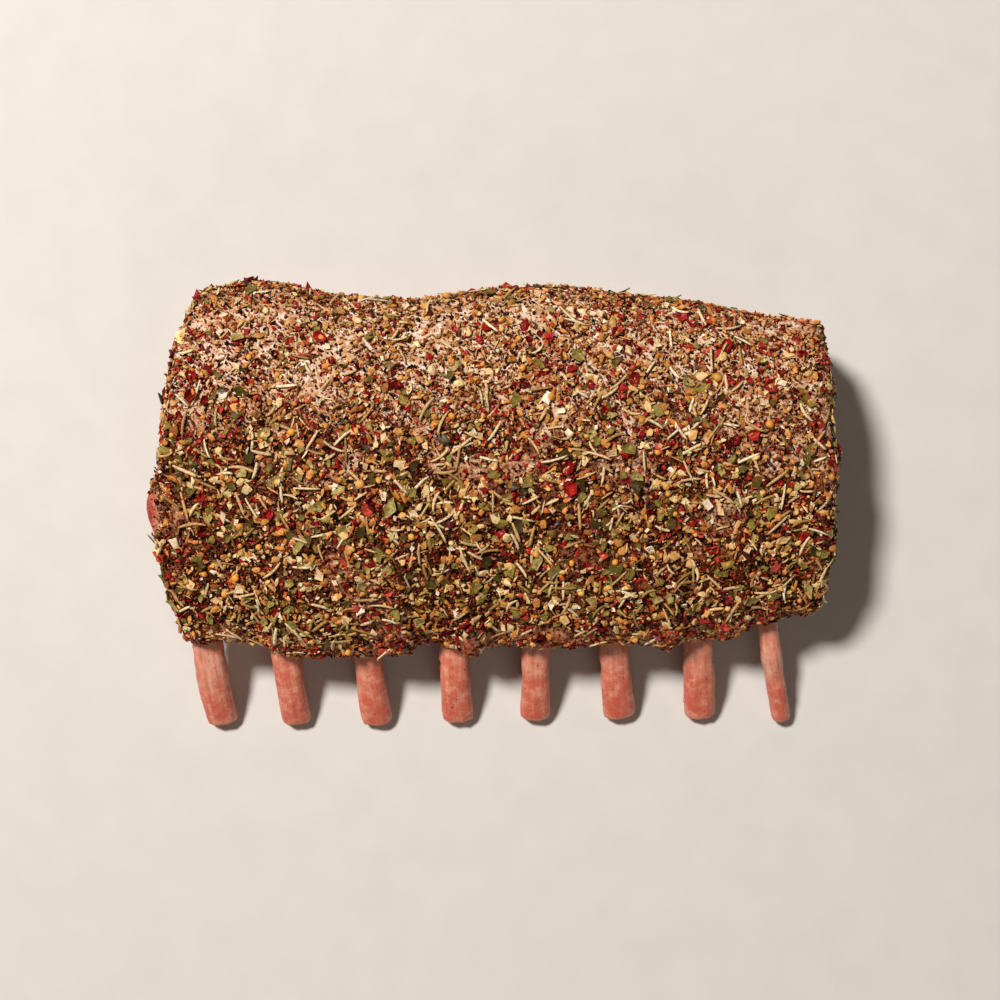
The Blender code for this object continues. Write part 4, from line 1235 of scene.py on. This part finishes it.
# Each kind: its piece and slot, shapes (see many), colours, finish (see rub_material) and layers
# (how many, size, lift and tilt, see Kind.scatter, then the density, see lay).
RUB = (
    ("rosemary_needles", "herbs",
     ((stalk, 8, 1, 5, 7, 0.35, 0.6), (stalk, 4, 21, 5, 7, 1.2, 0.55)),
     ((240, 220, 176), (220, 188, 136), (244, 230, 194), (204, 168, 112), (172, 138, 80),
      (232, 206, 158)),
     ("dry_needles", 0.0010, 0.0003, 0.50),
     ((430, (5.5, 12.0, 0, 0, 1.0, 1.5), (1.0, 2.0), 6, (1.0, 0.22, 1.6, 0.03, 1.5, 0.25)),)),
    ("cut_stems", "herbs", ((stalk, 8, 2, 4, 3, 0.5, 0.85),),
     ((228, 196, 144), (194, 152, 94), (238, 214, 168), (150, 104, 54), (126, 86, 40),
      (92, 50, 22), (210, 158, 98), (80, 40, 16)),
     ("dry_stems", 0.0008, 0.0002, 0.55),
     ((1900, (2.0, 5.8, 0, 0, 0.6, 1.2), (0.3, 1.5), 12, (1.0, 0.5, 1.2, 0.02, 2.5, 0.25)),)),
    ("leaf_flakes", "herbs", ((plate, 14, 3, 5, 0.5, 0.10, 0.24, 1.12),),
     ((130, 115, 48), (160, 143, 72), (96, 82, 30), (184, 165, 100), (146, 129, 60),
      (68, 56, 18), (150, 135, 62), (114, 96, 40)),
     ("dry_leaves", 0.0014, 0.0004, 0.50, 0.1, 0.42),
     ((470, (3.4, 7.2, 0.74, 0.8), (0.8, 1.8), 16, (1.0, 0.25, 1.5, 0.022, 3.5, 0.10)),
      (760, (1.8, 3.6, 0.7, 1.0), (0.4, 1.4), 26, (1.0, 0.5, 1.0, 0.022, 3.5, 0.2)))),
    ("pepper_flakes", "spices", ((plate, 12, 4, 6, 0.7, 0.18),),
     ((160, 20, 20), (184, 40, 34), (120, 9, 12), (90, 7, 8), (206, 76, 60), (178, 38, 40),
      (142, 14, 16)),
     ("red_flakes", 0.0012, 0.0005, 0.40, 0.15, 0.32),
     ((560, (2.8, 6.4, 0.75, 1.0), (0.3, 1.1), 13, (1.0, 0.8, 2.6, 0.014, 4.5, 1.3, 0.3)),
      (1600, (1.6, 3.4, 0.8, 1.1), (0.2, 1.2), 24, (1.0, 1.2, 2.2, 0.014, 4.5, 1.7, 0.3)))),
    ("cream_flakes", "spices", ((plate, 10, 5, 4, 0.25, 0.16, 0.12),),
     ((238, 220, 184), (244, 234, 208), (226, 202, 158), (232, 208, 156), (210, 174, 124)),
     ("cream_flakes", 0.0012, 0.0002, 0.50, 0.0, 0.75),
     ((150, (3.8, 6.6, 0.72, 0.9), (0.9, 1.7), 10, (1.0, 0.25, 1.0, 0.018, 0.0, 0.2)),
      (1100, (2.0, 3.8, 0.70, 1.1), (0.4, 1.4), 20, (1.0, 0.9, 1.0, 0.018, 0.0, 0.5)))),
    ("tan_granules", "spices", ((granule, 14, 6, 0.30, 0.60),),
     ((222, 168, 98), (236, 194, 128), (204, 144, 74), (242, 214, 158), (172, 110, 52),
      (216, 150, 78)),
     ("tan_granules", 0.0012, 0.0003, 0.42, 0.1),
     ((1200, (2.4, 5.4, 0.72, 0.60), (0.4, 1.4), 26, (1.0, 0.45, 1.3, 0.014, 5.5, 0.6)),
      (1200, (1.4, 2.8, 0.75, 0.65), (0.1, 0.9), 30, (0.7, 1.0, 1.3, 0.014, 5.5, 0.7)))),
    ("orange_granules", "spices", ((granule, 12, 7, 0.30, 0.60),),
     ((212, 130, 58), (226, 156, 80), (196, 98, 44), (232, 172, 96), (172, 78, 32)),
     ("orange_granules", 0.0012, 0.0003, 0.38, 0.15),
     ((1500, (1.6, 4.0, 0.70, 0.60), (0.3, 1.3), 28, (1.0, 1.0, 1.5, 0.016, 6.5, 2.8)),
      (900, (1.2, 2.4, 0.75, 0.65), (0.1, 0.8), 30, (0.5, 1.0, 0.0, 0.018, 0.0, 3.6)))),
    ("mustard_seeds", "spices", ((bead, 4, 8),),
     ((226, 168, 82), (234, 186, 108), (208, 146, 66), (230, 162, 74)),
     ("mustard_seeds", 0.0014, 0.0001, 0.35, 0.15, 0.8),
     ((90, (2.4, 3.8, 0.95, 0.85), (0.8, 1.3), 40, (1.0, 0.5)),)),
    ("cracked_pepper", "spices", ((granule, 10, 9, 0.35, 0.75),),
     ((28, 6, 2), (44, 15, 5), (18, 4, 1), (68, 32, 14)),
     ("cracked_pepper", 0.0008, 0.0002, 0.38, 0.0, 0.55, 0.15),
     ((2400, (1.1, 2.6, 0.8, 0.85), (0.1, 1.0), 40, (1.0, 0.9, 1.5, 0.02, 7.5, 0.3)),)),
    ("herb_crumbs", "herbs", ((crumb, 14, 10),),
     ((72, 26, 8), (110, 50, 20), (40, 10, 3), (138, 74, 34), (84, 40, 14), (22, 4, 1),
      (122, 76, 34), (60, 14, 5), (28, 6, 2), (96, 32, 15)),
     ("herb_crumbs", 0.0008, 0.0002, 0.55, 0.0, 0.55, 0.08),
     ((9800, (1.4, 4.0, 0.34, 0.5), (0.0, 1.1), 28, (1.0, 0.55, 1.2, 0.02, 8.5, 0.20, 0.6)),
      (7500, (0.8, 2.2, 0.75, 0.9), (-0.1, 0.7), 35, (1.0, 0.5, 1.2, 0.02, 8.5, 0.20, 0.6)))),
    ("tan_crumbs", "spices", ((crumb, 12, 11),),
     ((214, 156, 90), (194, 130, 68), (234, 194, 136), (166, 98, 46), (238, 208, 162),
      (212, 140, 74), (202, 118, 58)),
     ("tan_crumbs", 0.0008, 0.0002, 0.45),
     ((12500, (0.9, 2.7, 0.66, 0.75), (0.0, 0.9), 35, (0.46, 1.1, 1.0, 0.014, 9.5, 1.2, 0.6)),)),
    ("red_crumbs", "spices", ((crumb, 12, 12),),
     ((150, 28, 22), (180, 58, 42), (106, 11, 11), (200, 90, 62)),
     ("red_crumbs", 0.0008, 0.0002, 0.34, 0.2),
     ((8500, (0.9, 2.5, 0.70, 0.85), (0.0, 1.0), 35, (1.0, 1.0, 2.0, 0.014, 4.5, 1.5, 0.6)),)),
    ("dark_specks", "spices", ((crumb, 8, 13),),
     ((32, 7, 2), (50, 18, 6), (20, 4, 1)),
     ("dark_specks", 0.0008, 0.0002, 0.45, 0.0, 0.55, 0.10),
     ((8500, (0.8, 2.2, 0.6, 0.9), (0.0, 0.9), 30, (1.0, 0.9, 1.2, 0.02, 7.5, 0.3, 0.4)),)),
)
FIRST_SEED = 31                # of the kinds' draws, in the order of the table
SMOOTH_KINDS = ("rosemary_needles", "mustard_seeds")
ON_BONES = {"dark_specks": (140, (0.4, 0.9, 0.85, 1.0), (0.0, 0.1), 30, (1.0, 1.0))}


def season(grounds, bones):
    """Lays every kind of the rub on the grounds, and a few dark specks on the bones."""
    for seed, (name, slot, shapes, colours, finish, layers) in enumerate(RUB, FIRST_SEED):
        kind = Kind(name, [made for row in shapes for made in many(*row)], colours, seed)
        for *layer, density in layers:
            kind.scatter(grounds, *layer, lay(*density))
        if name in ON_BONES:
            *layer, density = ON_BONES[name]
            kind.scatter(bones, *layer, lay(*density))
        kind.build(rub_material(*finish), slot, name in SMOOTH_KINDS)


# ---- stage, light, camera
FLOOR_REACH = 3.0
LIGHTS = (                     # name, place, size, watts and colour; all aim at the roast
    ("key", (-1.00, 0.95, 2.18), 0.42, 86.0, (1.0, 0.915, 0.835)),
    ("fill", (0.5, -1.8, 1.15), 1.2, 6.5, (1.0, 0.82, 0.66)),
)
LIGHT_TARGET = (0, 0, 0.03)
SKY_COLOUR, SKY_STRENGTH = (1.0, 0.88, 0.74, 1.0), 0.065
CAMERA_PLACE, LENS, SENSOR_WIDTH = (0.0040, 0.0033, 0.750), 61.4, 36.0


def add_stage():
    mesh = bpy.data.meshes.new("floor")
    corners = ((-1, -1), (1, -1), (1, 1), (-1, 1))
    mesh.from_pydata([(x * FLOOR_REACH, y * FLOOR_REACH, 0) for x, y in corners],
                     [], [(0, 1, 2, 3)])
    mesh.materials.append(floor_material())
    floor = bpy.data.objects.new("floor", mesh)
    link(floor)


def add_light(name, place, target, size, power, colour):
    lamp = bpy.data.lights.new(name, "AREA")
    lamp.shape, lamp.size, lamp.energy, lamp.color = "DISK", size, power, colour
    holder = bpy.data.objects.new(name, lamp)
    holder.location = place
    aim = Vector(target) - Vector(place)
    holder.rotation_euler = aim.to_track_quat("-Z", "Y").to_euler()
    link(holder)


def add_lights():
    for name, place, size, power, colour in LIGHTS:
        add_light(name, place, LIGHT_TARGET, size, power, colour)
    world = bpy.data.worlds.new("studio")
    bpy.context.scene.world = world
    world.use_nodes = True
    sky = world.node_tree.nodes["Background"]
    sky.inputs["Color"].default_value = SKY_COLOUR
    sky.inputs["Strength"].default_value = SKY_STRENGTH


def add_camera():
    """Straight above the middle of the roast, with the bare rib ends at the bottom."""
    lens = bpy.data.cameras.new("camera")
    lens.lens, lens.sensor_width = LENS, SENSOR_WIDTH
    lens.clip_start, lens.clip_end = 0.01, 20.0
    camera = bpy.data.objects.new("camera", lens)
    camera.location = CAMERA_PLACE
    link(camera)
    bpy.context.scene.camera = camera
    bpy.context.scene.view_settings.view_transform = "Standard"


# ---- assembly
BARE_STATIONS = 24             # of a rib, from its tip: the part that can carry specks
MIDDLE = (0.0, 0.02, 0.035)
FAT_CORE = (0, 0.02, 0.03)     # y and z of the line that the fat faces away from


def build():
    fat_points, walls = build_fat()
    top, caps = build_loin()
    ribs = build_ribs()
    fat = Ground(fat_points)
    fat.face_out(fat.centre * (1, 0, 0) + FAT_CORE)
    ends = [
        Ground(cap, 0.55 * smooth(0.030, 0.050, cap[:-1, :-1, 2])).face_out(MIDDLE)
        for cap in caps]
    ends += [Ground(wall, 0.8).face_out(MIDDLE) for wall in walls]
    ends.append(Ground(
        top[:, :LIP_STEPS], np.linspace(0.15, 0.75, LIP_STEPS - 1)[None]).face_out(MIDDLE))
    strip = top[:, -CHINE_STEPS:]
    fading = np.linspace(0.7, 0.2, CHINE_STEPS - 1) ** 2
    fading = fading * smooth(0.008, 0.016, strip[:-1, :-1, 2])
    chine = Ground(strip, fading).face_out(MIDDLE)
    bones = []
    for points in ribs:
        bare = points[:BARE_STATIONS]
        weight = smooth(0.004, 0.008, bare[:-1, :-1, 2])
        bones.append(Ground(bare, weight).face_out(bare.mean(axis=1)[:-1, None]))
    season([fat, *ends, chine], bones)
    add_stage()
    add_lights()
    add_camera()


build()
bpy.context.view_layer.update()
